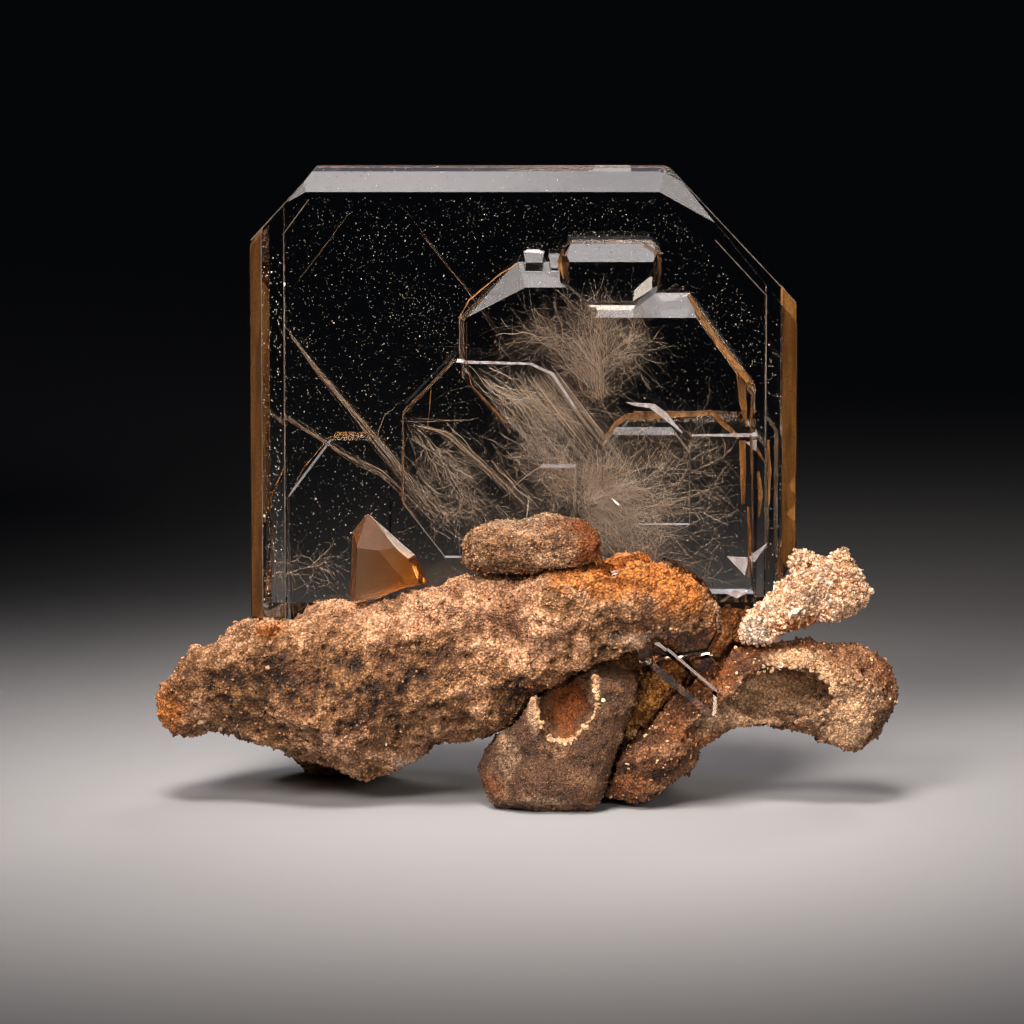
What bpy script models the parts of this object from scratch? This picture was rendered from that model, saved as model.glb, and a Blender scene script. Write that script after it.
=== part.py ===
"""Barite specimen: a clear tabular crystal grown on sandy-coated blades of the same mineral.

Frame: metres, +Z up, +X to the right as one faces the plate, +Y away from the viewer. The working
frame below is in millimetres with z = 0 on the table and y = 0 in the plate's middle plane; the
last step slides the whole specimen so that the origin is at the bottom centre of its box.

Crystals are built as nature bounds them, by flat faces: each face is a direction and a distance
from the crystal's centre, and the solid is what lies inside all of them. The coated blades are
rough lofts: rounded-box sections along a path, with lumps and ledges from seeded noise.
"""

import math

import bmesh
import bpy
import numpy as np
from mathutils import Vector, noise

MM = 0.001

# Clearance that touching pieces keep, in mm: flat-faced crystals, and rough coated blades
GAP = 0.3
ROUGH_GAP = 0.45

# Interfacial angles of barite, in degrees from the large face (001)
ANGLE_TOP = 52.7        # dome above and below the large face
ANGLE_SIDE = 38.9       # dome on the left and right sides
ANGLE_PRISM = 50.8      # slope of the upright prism faces at the corners

# Main plate
PLATE_LEFT = -27.64
PLATE_RIGHT = 26.93
PLATE_TOP = 63.1
PLATE_BOTTOM = 17.3
PLATE_HALF = 3.2        # half of its thickness
STAIN_LEFT = 1.2        # width of the steep stained faces at the sides
STAIN_RIGHT = 1.5
BEVEL_LEFT = 2.3        # width of the flatter dotted bevels inside them
BEVEL_RIGHT = 1.7
CORNER_LEFT = (-21.9, 61.84)    # a point on each sloping corner's edge, x and z
CORNER_RIGHT = (21.9, 53.5)

PLATE_MIDDLE = 40.0     # height of the points that only fix an upright face's place
CORNER_TILTED_LEFT = -21.9      # where each tilted upper corner facet meets the large face, x
CORNER_TILTED_RIGHT = 13.07
CORNER_TILTED_TOP = 60.66       # and z
NOTCHES = {"notch_upper": (31.2, 0.9, 1.2), "notch_lower": (28.4, 1.1, 1.1)}   # z, depth, half height

# How far the plates that grew on the large faces stand proud of the main plate's middle plane
FRONT_SHIELD_LEFT = 6.2
FRONT_SHIELD_RIGHT = 6.1
FRONT_KNOB = 8.0
FRONT_WEST = 4.4
FRONT_EAST_SMALL = 7.0
FRONT_EAST_RIM = 4.7
BACK_LOW = 4.5
BACK_EAST = 4.8

# Ring and side counts of the rough lofts
SLAB_RINGS, SLAB_SIDES = 47, 26
CORE_RINGS, CORE_SIDES = 16, 14
SHELL_RINGS, SHELL_SIDES = 31, 18
DRUSE_RINGS, DRUSE_SIDES = 19, 13

# Paths of the rough lofts, in mm. Each row: centre x, centre z, half height, centre y, half depth.
SLAB_PATH = [
    (-36.6, 9.5, 1.1, -5.2, 2.6),
    (-35.4, 9.5, 3.1, -5.0, 4.6),
    (-32.3, 10.9, 4.3, -3.8, 6.8),
    (-28.3, 11.8, 5.6, -2.2, 9.6),
    (-23.8, 11.0, 6.6, -1.2, 11.6),
    (-19.4, 10.5, 8.1, 0.2, 13.0),
    (-14.5, 10.9, 8.9, 0.6, 13.4),
    (-8.6, 13.0, 8.2, 0.0, 13.0),
    (-4.6, 14.1, 8.0, -1.8, 11.2),
    (-0.7, 16.1, 7.0, -4.6, 8.8),
    (3.2, 18.5, 5.6, -8.0, 6.0),
    (7.1, 20.1, 4.7, -10.2, 3.9),
    (12.0, 20.9, 4.1, -11.9, 2.3),
    (16.0, 20.4, 2.7, -11.8, 1.9),
    (18.4, 19.5, 1.2, -11.4, 1.2),
]
CORE_PATH = [
    (-3.0, 10.5, 2.6, 3.0, 4.0),
    (1.0, 10.0, 6.2, 3.2, 6.8),
    (5.3, 9.8, 9.4, 3.2, 8.4),
    (9.5, 9.6, 10.2, 3.0, 8.8),
    (13.4, 10.0, 10.6, 2.8, 8.8),
    (17.2, 13.0, 7.6, 2.2, 8.2),
    (20.8, 14.8, 5.6, 1.8, 6.8),
    (23.8, 15.8, 3.6, 1.6, 4.6),
]
SHELL_PATH = [
    (7.6, 1.6, 0.9, -8.2, 2.0),
    (10.2, 3.0, 2.9, -8.0, 3.6),
    (13.4, 5.4, 2.8, -7.6, 4.2),
    (17.2, 9.1, 2.9, -7.0, 4.8),
    (21.8, 11.4, 3.9, -6.4, 5.4),
    (26.4, 12.0, 4.6, -6.2, 5.6),
    (30.4, 10.9, 5.0, -6.2, 5.2),
    (33.4, 10.6, 4.8, -6.4, 4.6),
    (35.6, 11.2, 3.1, -6.6, 3.4),
    (36.6, 11.6, 1.2, -6.6, 1.6),
]
SHELL_TURN = [(7.6, 20.0), (12.0, 45.0), (17.0, 42.0), (22.0, 22.0), (26.5, 0.0), (37.0, 0.0)]
DRUSE_PATH = [
    (21.2, 17.3, 1.1, -7.4, 1.4),
    (23.8, 18.6, 2.4, -7.2, 2.9),
    (27.4, 21.2, 3.2, -6.8, 3.2),
    (30.4, 21.5, 3.2, -6.4, 3.0),
    (32.7, 21.2, 2.3, -6.2, 2.2),
    (33.8, 21.0, 0.9, -6.2, 1.0),
]
# Centres of the coated blades that are bounded by flat faces under their coating, in mm
HOLLOW_CENTRE = (3.6, -9.4, 7.0)
BLOCK_CENTRE = (0.2, -10.4, 26.3)
RIB_CENTRE = (12.4, -4.6, 10.4)

# Foot under the back of the long blade and the nub on its front: centres and radii, in mm
HEEL_CENTRE = (-18.2, 10.8, 4.2)
HEEL_RADII = (6.0, 4.8, 5.2)
NUB_CENTRE = (-26.0, -9.8, 18.0)
NUB_RADII = (1.9, 1.3, 0.9)

# Broken hollows in the two lower blades: centre and radii in mm, turn in degrees
MOUTH_CENTRE = (3.9, -13.2, 11.5)
MOUTH_RADII = (2.9, 5.2, 4.1)
MOUTH_TURN = -10.0
CAVITY_CENTRE = (25.4, -9.8, 11.5)
CAVITY_RADII = (5.4, 5.8, 2.9)
CAVITY_TURN = 2.0
SCOOP_CENTRE = (22.4, -13.0, 8.8)
SCOOP_RADII = (6.6, 4.0, 3.2)
SCOOP_TURN = 12.0

# Lobes, arm and tongue of the druse: centre and radii in mm
DRUSE_LOBES = [
    ((27.3, -6.8, 23.9), (1.6, 1.6, 1.7)),
    ((30.9, -6.5, 24.1), (1.4, 1.5, 1.5)),
    ((32.9, -6.3, 21.2), (1.5, 1.2, 0.9)),
    ((23.4, -7.6, 17.7), (1.2, 1.5, 1.5)),
]

SLAB_LEAN = -0.14       # rise of a blade per mm of depth: it dips away from the viewer
CORE_LEAN = -0.08

COLOURS = {
    "clear barite": (0.93, 0.92, 0.90),
    "honey barite": (0.62, 0.42, 0.20),
    "sandy coating": (0.55, 0.32, 0.13),
    "brown coating": (0.38, 0.18, 0.07),
    "grey-brown coating": (0.40, 0.24, 0.14),
    "cream druse": (0.80, 0.58, 0.34),
}
CLEAR_MATERIALS = ("clear barite", "honey barite")
BARITE_IOR = 1.64


def direction(along_x, along_y, along_z):
    return Vector((along_x, along_y, along_z)).normalized()


def face_top(front, sign=1):
    """Dome face above (sign 1) or below (sign -1) the large face, on the front or the back."""
    angle = math.radians(ANGLE_TOP)
    return direction(0.0, (-1 if front else 1) * math.cos(angle), sign * math.sin(angle))


def face_side(sign, front):
    """Dome face at the right (sign 1) or left (sign -1)."""
    angle = math.radians(ANGLE_SIDE)
    return direction(sign * math.sin(angle), (-1 if front else 1) * math.cos(angle), 0.0)


def face_prism(sign):
    """Upright prism face across the right (sign 1) or left (sign -1) upper corner of the plate."""
    slope = math.radians(ANGLE_PRISM)
    return direction(sign * math.sin(slope), 0.0, math.cos(slope))


FRONT = Vector((0.0, -1.0, 0.0))
BACK = Vector((0.0, 1.0, 0.0))


def make_material(name):
    material = bpy.data.materials.get(name)
    if material:
        return material
    material = bpy.data.materials.new(name)
    material.use_nodes = True
    shader = material.node_tree.nodes["Principled BSDF"]
    shader.inputs["Base Color"].default_value = (*COLOURS[name], 1.0)
    shader.inputs["Metallic"].default_value = 0.0
    clear = name in CLEAR_MATERIALS
    shader.inputs["Roughness"].default_value = 0.03 if clear else 0.9
    if clear:
        shader.inputs["Transmission Weight"].default_value = 1.0
        shader.inputs["IOR"].default_value = BARITE_IOR
    return material


def make_object(name, bm, material_name):
    """Turn a bmesh in millimetres into an object in metres."""
    bmesh.ops.recalc_face_normals(bm, faces=bm.faces)
    bmesh.ops.scale(bm, vec=(MM, MM, MM), verts=bm.verts)
    mesh = bpy.data.meshes.new(name)
    bm.to_mesh(mesh)
    bm.free()
    mesh.materials.append(make_material(material_name))
    obj = bpy.data.objects.new(name, mesh)
    bpy.context.scene.collection.objects.link(obj)
    return obj


def make_guide(obj):
    """Keep an object only as another's cutter or as a part to be joined."""
    obj.hide_render = True
    obj.display_type = "WIRE"
    return obj


def boolean(obj, operation, other):
    modifier = obj.modifiers.new(operation.lower() + " " + other.name, "BOOLEAN")
    modifier.operation = operation
    modifier.solver = "EXACT"
    modifier.object = other


def crystal(name, faces, material_name, reach=60.0):
    """Convex crystal: a large block cut by each face, given as (outward direction, point on it)."""
    points = np.array([point for _, point in faces])
    middle = Vector(points.mean(axis=0))
    bm = bmesh.new()
    bmesh.ops.create_cube(bm, size=2 * reach)
    bmesh.ops.translate(bm, vec=middle, verts=bm.verts)
    for normal, point in faces:
        everything = list(bm.verts) + list(bm.edges) + list(bm.faces)
        cut = bmesh.ops.bisect_plane(
            bm, geom=everything, plane_co=point, plane_no=normal, clear_outer=True, dist=1e-6)
        rim = [item for item in cut["geom_cut"] if isinstance(item, bmesh.types.BMEdge)]
        if rim:
            bmesh.ops.contextual_create(bm, geom=rim)
    bmesh.ops.remove_doubles(bm, verts=bm.verts, dist=1e-4)
    return make_object(name, bm, material_name)


def shifted(faces, grow):
    """The same faces, each moved outwards by grow."""
    return [(normal, Vector(point) + grow * normal) for normal, point in faces]


def inner_steps(half, bevel):
    """Depth at which the flat side bevel ends and the steep stained face begins."""
    return half - bevel * math.tan(math.radians(ANGLE_SIDE))


def steep_side(sign, edge, stain, bevel, front):
    """Stained face between the girdle at the middle plane and the flatter bevel."""
    depth = inner_steps(PLATE_HALF, bevel)
    way = -1 if front else 1
    normal = direction(sign * depth, way * stain, 0.0)
    return normal, Vector((edge, 0.0, PLATE_MIDDLE))


def main_plate_faces():
    way = {True: -1, False: 1}
    faces = [
        (FRONT, Vector((0.0, -PLATE_HALF, PLATE_MIDDLE))),
        (BACK, Vector((0.0, PLATE_HALF, PLATE_MIDDLE))),
    ]
    left_inner = PLATE_LEFT + STAIN_LEFT + BEVEL_LEFT
    right_inner = PLATE_RIGHT - STAIN_RIGHT - BEVEL_RIGHT
    for front in (True, False):
        depth = way[front] * PLATE_HALF
        faces += [
            (face_top(front), Vector((0.0, 0.0, PLATE_TOP))),
            (face_top(front, -1), Vector((0.0, 0.0, PLATE_BOTTOM))),
            (face_side(-1, front), Vector((left_inner, depth, PLATE_MIDDLE))),
            (face_side(1, front), Vector((right_inner, depth, PLATE_MIDDLE))),
            steep_side(-1, PLATE_LEFT, STAIN_LEFT, BEVEL_LEFT, front),
            steep_side(1, PLATE_RIGHT, STAIN_RIGHT, BEVEL_RIGHT, front),
            (direction(0.387, way[front] * 0.604, 0.697),
             Vector((CORNER_TILTED_RIGHT, depth, CORNER_TILTED_TOP))),
            (direction(-0.387, way[front] * 0.604, 0.697),
             Vector((CORNER_TILTED_LEFT, depth, CORNER_TILTED_TOP))),
        ]
    faces += [
        (face_prism(-1), Vector((CORNER_LEFT[0], 0.0, CORNER_LEFT[1]))),
        (face_prism(1), Vector((CORNER_RIGHT[0], 0.0, CORNER_RIGHT[1]))),
        (direction(-0.70, 0.0, -0.71), Vector((PLATE_LEFT + 0.3, 0.0, PLATE_BOTTOM + 0.3))),
        (direction(0.857, 0.0, -0.514), Vector((26.3, 0.0, 23.1))),
    ]
    return faces


def front_plate(left, right, top, bottom, front, corners, steep_top=False):
    """Faces of a parallel plate raised on the front. corners lists extra (direction, point) faces."""
    base = -PLATE_HALF
    top_normal = direction(0.0, -0.25, 1.0) if steep_top else face_top(True)
    return [
        (FRONT, Vector((0.5 * (left + right), front, 0.5 * (top + bottom)))),
        (BACK, Vector((0.5 * (left + right), 0.0, 0.5 * (top + bottom)))),
        (top_normal, Vector((0.0, base, top))),
        (direction(0.0, -0.3, -1.0), Vector((0.0, base, bottom))),
        (direction(-1.0, -0.16, 0.0), Vector((left, base, 0.0))),
        (direction(1.0, -0.16, 0.0), Vector((right, base, 0.0))),
    ] + corners


def corner(along_x, along_z, x, z, tilt=0.12, depth=-PLATE_HALF):
    """Sloping corner face of a raised plate through (x, z) at the given depth."""
    way = -1 if depth < 0 else 1
    return direction(along_x, way * tilt, along_z), Vector((x, depth, z))


def back_plate(left, right, top, bottom, back, corners):
    """Faces of a parallel plate raised on the back."""
    faces = []
    for normal, point in front_plate(left, right, top, bottom, -back, []):
        faces.append((Vector((normal.x, -normal.y, normal.z)), Vector((point.x, -point.y, point.z))))
    return faces + corners


def sub_plates():
    """The plates and the thick little crystal that grew on the main plate, as lists of faces."""
    back = PLATE_HALF
    knob_mid = -5.4
    return {
        "shield_left": front_plate(-6.7, 7.2, 53.74, 33.0, -FRONT_SHIELD_LEFT, [
            corner(-0.70, 0.71, -6.7, 48.2),
            (direction(-0.36, -0.62, 0.70), Vector((-0.9, -PLATE_HALF, 53.74))),
            corner(-0.75, -0.66, -5.47, 41.0),
            corner(0.78, 0.62, 7.2, 52.0),
        ]),
        "shield_right": front_plate(4.4, 22.65, 50.66, 20.6, -FRONT_SHIELD_RIGHT, [
            corner(0.815, 0.58, 16.13, 50.66, 0.30),
            corner(-0.70, -0.71, 6.0, 27.0),
            corner(-0.80, 0.60, 4.4, 46.0),
        ]),
        "sliver_left": front_plate(-0.4, 1.7, 54.85, 52.5, -4.6, []),
        "sliver_right": front_plate(2.1, 3.3, 54.55, 52.5, -4.9, []),
        "west_plate": front_plate(-12.4, 5.0, 44.1, 24.2, -FRONT_WEST, [
            corner(-0.72, 0.69, -9.8, 41.5, 0.2),
            corner(0.80, 0.60, 3.2, 41.2, 0.2),
            corner(-0.79, -0.61, -11.9, 29.0, 0.2),
        ], steep_top=True),
        "east_small_plate": front_plate(6.9, 16.6, 39.8, 27.0, -FRONT_EAST_SMALL, [
            corner(-0.80, 0.60, 9.6, 39.8, 0.2),
            corner(0.78, 0.62, 13.4, 39.6, 0.2),
            corner(-0.70, -0.71, 8.6, 29.4, 0.2),
        ]),
        "east_rim_plate": front_plate(13.0, 24.0, 36.7, 21.0, -FRONT_EAST_RIM, [
            corner(0.80, 0.60, 23.0, 36.6, 0.2),
            corner(0.72, -0.69, 22.6, 23.9, 0.2),
        ], steep_top=True),
        "low_back_plate": back_plate(-24.0, -13.6, 36.4, 18.6, BACK_LOW, [
            corner(-0.80, 0.60, -22.0, 32.6, 0.2, back),
            corner(0.74, 0.67, -15.2, 35.7, 0.2, back),
        ]),
        "east_back_plate": back_plate(7.6, 23.0, 38.6, 19.4, BACK_EAST, [
            corner(-0.78, 0.62, 9.6, 37.2, 0.2, back),
            corner(0.78, 0.62, 21.6, 38.2, 0.2, back),
        ]),
        "knob": [
            (FRONT, Vector((8.4, -FRONT_KNOB, 52.0))),
            (BACK, Vector((8.4, 0.0, 52.0))),
            (face_top(True), Vector((8.4, knob_mid, 56.1))),
            (face_top(False), Vector((8.4, knob_mid, 56.1))),
            (direction(-0.94, -0.34, 0.0), Vector((3.2, knob_mid, 52.6))),
            (direction(0.94, -0.34, 0.0), Vector((13.3, knob_mid, 52.6))),
            (direction(-0.94, 0.34, 0.0), Vector((3.2, knob_mid, 52.6))),
            (direction(0.94, 0.34, 0.0), Vector((13.3, knob_mid, 52.6))),
            (direction(-0.80, -0.20, 0.60), Vector((4.3, knob_mid, 55.9))),
            (direction(0.80, -0.20, 0.60), Vector((12.4, knob_mid, 55.9))),
            (direction(-0.66, -0.20, -0.75), Vector((4.2, knob_mid, 51.0))),
            (direction(0.66, -0.20, -0.75), Vector((12.5, knob_mid, 51.0))),
            (direction(0.0, -0.35, -0.94), Vector((8.4, knob_mid, 49.2))),
        ],
    }


def notch(name, z, depth, half_height):
    """Wedge that cuts a small V into the plate's right edge."""
    bm = bmesh.new()
    tip = PLATE_RIGHT - depth
    outside = PLATE_RIGHT + depth
    rise = half_height * (outside - tip) / depth
    corners = [(tip, z), (outside, z + rise), (outside, z - rise)]
    near = [bm.verts.new((x, -2 * PLATE_HALF, h)) for x, h in corners]
    far = [bm.verts.new((x, 2 * PLATE_HALF, h)) for x, h in corners]
    bm.faces.new(near)
    bm.faces.new(reversed(far))
    for i in range(3):
        j = (i + 1) % 3
        bm.faces.new((near[j], near[i], far[i], far[j]))
    return make_guide(make_object(name, bm, "clear barite"))


def main_crystal(name, grow=0.0):
    """The main plate joined with every plate that grew on it; grow moves all faces outwards."""
    plate = crystal(name, shifted(main_plate_faces(), grow), "clear barite")
    for part_name, faces in sub_plates().items():
        part = crystal(name + "_" + part_name, shifted(faces, grow), "clear barite")
        boolean(plate, "UNION", make_guide(part))
    if grow == 0.0:
        for notch_name, (z, depth, half_height) in NOTCHES.items():
            boolean(plate, "DIFFERENCE", notch(notch_name, z, depth, half_height))
    return plate


def smooth_track(rows, count):
    """Catmull-Rom curve through the rows, sampled evenly in the rows' own parameter."""
    rows = np.asarray(rows, dtype=float)
    ends = np.vstack([2 * rows[0] - rows[1], rows, 2 * rows[-1] - rows[-2]])
    steps = np.linalg.norm(np.diff(rows[:, :2], axis=0), axis=1)
    reach = np.concatenate([[0.0], np.cumsum(steps)])
    along = np.linspace(0.0, reach[-1], count)
    at = np.interp(along, reach, np.arange(len(rows)))
    index = np.minimum(at.astype(int), len(rows) - 2)
    t = (at - index)[:, None]
    before, start, end, after = ends[index], ends[index + 1], ends[index + 2], ends[index + 3]
    curve = start + 0.5 * t * (end - before + t * (2 * before - 5 * start + 4 * end - after
                               + t * (3 * (start - end) + after - before)))
    curve[:, 2] = np.maximum(curve[:, 2], 0.5)
    curve[:, 4] = np.maximum(curve[:, 4], 0.5)
    return curve


def relief(place, lump, lump_size, ledge, ledge_size, seed):
    """Height of the coating over the smooth blade: round lumps plus ledges that run along x."""
    shift = Vector((seed * 7.31, seed * 3.17, seed * 1.93))
    lumps = noise.noise(place / lump_size + shift)
    stretched = Vector((0.35 * place.x, 0.8 * place.y, place.z)) / ledge_size + shift
    steps = noise.noise(stretched)
    small = noise.noise(place / (0.42 * lump_size) + 2 * shift)
    return lump * (lumps + 0.45 * small) + ledge * math.tanh(4.0 * steps)


def rough_blade(name, path, rings, sides, material_name, power=2.6, turn=None, lean=0.0,
                lump=0.5, lump_size=4.0, ledge=0.25, ledge_size=3.0, seed=1, grow=0.0):
    """Loft of superellipse sections along the path, roughened, closed with a point at each end.

    A section spans the depth (y) and the direction across the path in the x-z plane. power
    squares it off: 2 is an ellipse, 4 nearly a box. grow widens it without changing its relief.
    """
    track = smooth_track(path, rings)
    if turn is None:
        angles = np.zeros(rings)
    else:
        turn = np.asarray(turn)
        angles = np.radians(np.interp(track[:, 0], turn[:, 0], turn[:, 1]))
    around = np.arange(sides) * 2 * math.pi / sides
    unit_y = np.sign(np.cos(around)) * np.abs(np.cos(around)) ** (2 / power)
    unit_up = np.sign(np.sin(around)) * np.abs(np.sin(around)) ** (2 / power)
    bm = bmesh.new()
    loops = []
    for (x, z, half_height, y, half_depth), angle in zip(track, angles):
        loop = []
        for across, up in zip(unit_y, unit_up):
            def point(extra):
                dy = across * (half_depth + extra)
                du = up * (half_height + extra)
                return Vector((x - du * math.sin(angle), y + dy, z + du * math.cos(angle) + lean * dy))
            middle = Vector((x, y, z))
            bare = point(0.0)
            height = relief(bare, lump, lump_size, ledge, ledge_size, seed)
            outward = (bare - middle).normalized()
            loop.append(bm.verts.new(point(grow) + height * outward))
        loops.append(loop)
    for lower, upper in zip(loops[:-1], loops[1:]):
        for i in range(sides):
            j = (i + 1) % sides
            bm.faces.new((lower[i], lower[j], upper[j], upper[i]))
    for loop, inner in ((loops[0], loops[1]), (loops[-1], loops[-2])):
        middle = sum((v.co for v in loop), Vector()) / sides
        inside = sum((v.co for v in inner), Vector()) / sides
        tip = bm.verts.new(middle + (0.35 + grow) * (middle - inside).normalized())
        for i in range(sides):
            bm.faces.new((loop[i], loop[(i + 1) % sides], tip))
    return make_object(name, bm, material_name)


def slab(name, grow=0.0):
    return rough_blade(name, SLAB_PATH, SLAB_RINGS, SLAB_SIDES, "sandy coating", power=3.4,
                       lean=SLAB_LEAN, lump=0.85, lump_size=4.4, ledge=0.6, ledge_size=2.8,
                       seed=3, grow=grow)


def core(name, grow=0.0):
    return rough_blade(name, CORE_PATH, CORE_RINGS, CORE_SIDES, "brown coating", power=2.6,
                       lean=CORE_LEAN, lump=1.3, lump_size=4.6, ledge=0.5, ledge_size=3.0,
                       seed=7, grow=grow)


def shell(name, grow=0.0):
    return rough_blade(name, SHELL_PATH, SHELL_RINGS, SHELL_SIDES, "grey-brown coating", power=2.4,
                       turn=SHELL_TURN, lump=0.65, lump_size=2.8, ledge=0.25, ledge_size=2.2,
                       seed=11, grow=grow)


def coated_crystal(name, centre, faces, material_name, stretch, level, rounding=12.0,
                   lump=0.3, lump_size=3.0, ledge=0.1, ledge_size=2.0, seed=1, grow=0.0):
    """Crystal under a coating that rounds its edges and roughens it.

    faces are (outward direction, distance from the centre). Along a ray from the centre the
    surface lies at (sum of (cosine / distance) ** rounding) ** (-1 / rounding), which is the
    flat-faced crystal with rounded edges. stretch spreads the rays along a long crystal.
    """
    bm = bmesh.new()
    bmesh.ops.create_icosphere(bm, subdivisions=level, radius=1.0)
    rays = np.array([vert.co for vert in bm.verts]) * np.asarray(stretch)
    rays /= np.linalg.norm(rays, axis=1)[:, None]
    normals = np.array([normal for normal, _ in faces])
    distances = np.array([distance for _, distance in faces])
    cosines = np.maximum(rays @ normals.T, 0.0)

    def surface(extra):
        reach = ((cosines / (distances + extra)) ** rounding).sum(axis=1) ** (-1.0 / rounding)
        return np.asarray(centre) + rays * reach[:, None]

    for vert, bare, grown, ray in zip(bm.verts, surface(0.0), surface(grow), rays):
        height = relief(Vector(bare), lump, lump_size, ledge, ledge_size, seed)
        vert.co = Vector(grown + height * ray)
    return make_object(name, bm, material_name)


def hollow(name, grow=0.0):
    faces = [
        (direction(0.0, -1.0, 0.08), 4.5),
        (direction(-0.62, -0.78, 0.10), 5.4),
        (direction(0.72, -0.66, -0.20), 5.8),
        (direction(0.0, 1.0, 0.0), 4.6),
        (direction(-0.798, 0.0, 0.603), 5.4),
        (direction(-0.90, 0.0, -0.43), 9.6),
        (direction(0.946, 0.1, -0.324), 5.5),
        (direction(0.25, -0.1, 0.96), 7.6),
        (direction(0.0, -0.45, -0.89), 7.2),
        (direction(0.0, 0.45, -0.89), 7.2),
        (direction(0.5, 0.0, -0.87), 8.0),
    ]
    return coated_crystal(name, HOLLOW_CENTRE, faces, "grey-brown coating", (1.0, 0.8, 1.15), 4,
                          rounding=14.0, lump=0.35, lump_size=3.0, ledge=0.15, ledge_size=2.0,
                          seed=17, grow=grow)


def druse(name, grow=0.0):
    return rough_blade(name, DRUSE_PATH, DRUSE_RINGS, DRUSE_SIDES, "cream druse", power=2.2,
                       lump=0.8, lump_size=2.4, ledge=0.15, ledge_size=2.0, seed=23, grow=grow)


def block(name, grow=0.0):
    faces = [
        (direction(0.97, 0.22, 0.12), 6.2),
        (direction(-0.93, -0.25, -0.05), 6.3),
        (direction(-0.70, -0.30, 0.62), 5.4),
        (direction(-0.12, -0.30, 0.94), 2.1),
        (direction(-0.15, -0.93, -0.20), 3.1),
        (direction(-0.10, -0.62, -0.78), 2.9),
        (direction(0.10, 0.95, 0.10), 3.0),
        (direction(0.0, 0.1, -1.0), 2.8),
        (direction(-0.6, 0.6, 0.5), 5.0),
    ]
    return coated_crystal(name, BLOCK_CENTRE, faces, "brown coating", (2.2, 1.1, 0.9), 3,
                          rounding=18.0, lump=0.22, lump_size=1.8, ledge=0.1, ledge_size=1.4,
                          seed=29, grow=grow)


def rib(name, grow=0.0):
    along = direction(0.545, 0.1, 0.83)
    faces = [
        (along, 4.9), (-along, 5.0),
        (direction(-0.83, -0.1, 0.545), 1.7), (direction(0.83, -0.1, -0.545), 1.7),
        (direction(0.1, -1.0, 0.1), 2.5), (direction(0.0, 1.0, 0.0), 2.6),
    ]
    return coated_crystal(name, RIB_CENTRE, faces, "brown coating", (1.2, 0.9, 1.8), 3,
                          rounding=8.0, lump=0.45, lump_size=1.8, ledge=0.15, ledge_size=1.4,
                          seed=31, grow=grow)


def floor_cutter():
    """Block under the table plane: it trims the lowest lumps to the small flats they rest on."""
    bm = bmesh.new()
    bmesh.ops.create_cube(bm, size=120.0)
    bmesh.ops.translate(bm, vec=(0.0, 0.0, -60.0), verts=bm.verts)
    return make_guide(make_object("table_cutter", bm, "sandy coating"))


def rough_egg(name, centre, radii, turn, seed, level=3):
    """Rough egg, turned in the x-z plane: the cutter of a broken hollow, or a lump to join on."""
    bm = bmesh.new()
    bmesh.ops.create_icosphere(bm, subdivisions=level, radius=1.0)
    cosine, sine = math.cos(math.radians(turn)), math.sin(math.radians(turn))
    for vert in bm.verts:
        swell = 1.0 + 0.22 * noise.noise(1.9 * vert.co + Vector((seed, 0.0, 0.0)))
        x, y, z = (swell * c * r for c, r in zip(vert.co, radii))
        vert.co = Vector((centre[0] + x * cosine - z * sine, centre[1] + y,
                          centre[2] + x * sine + z * cosine))
    return make_guide(make_object(name, bm, "sandy coating"))


def blade_crystal(name, middle, half, across, along, faceward, material_name, tip=0.6, grow=0.0):
    """Small tabular crystal: along is its long axis, across its width, faceward its thin way."""
    middle = Vector(middle)
    along, across, faceward = along.normalized(), across.normalized(), faceward.normalized()
    length, width, thick = half
    faces = []
    for sign in (-1, 1):
        faces.append((sign * faceward, middle + sign * thick * faceward))
        faces.append((sign * across, middle + sign * width * across))
        faces.append((sign * along, middle + sign * length * along))
        for side in (-1, 1):
            normal = (sign * along + side * 0.9 * across).normalized()
            point = middle + sign * (length - tip * width) * along + side * width * across
            faces.append((normal, point))
            edge = (side * across + sign * 0.9 * faceward).normalized()
            place = middle + side * width * across + sign * 0.45 * thick * faceward
            faces.append((edge, place))
    return crystal(name, shifted(faces, grow), material_name, reach=20.0)


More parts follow.
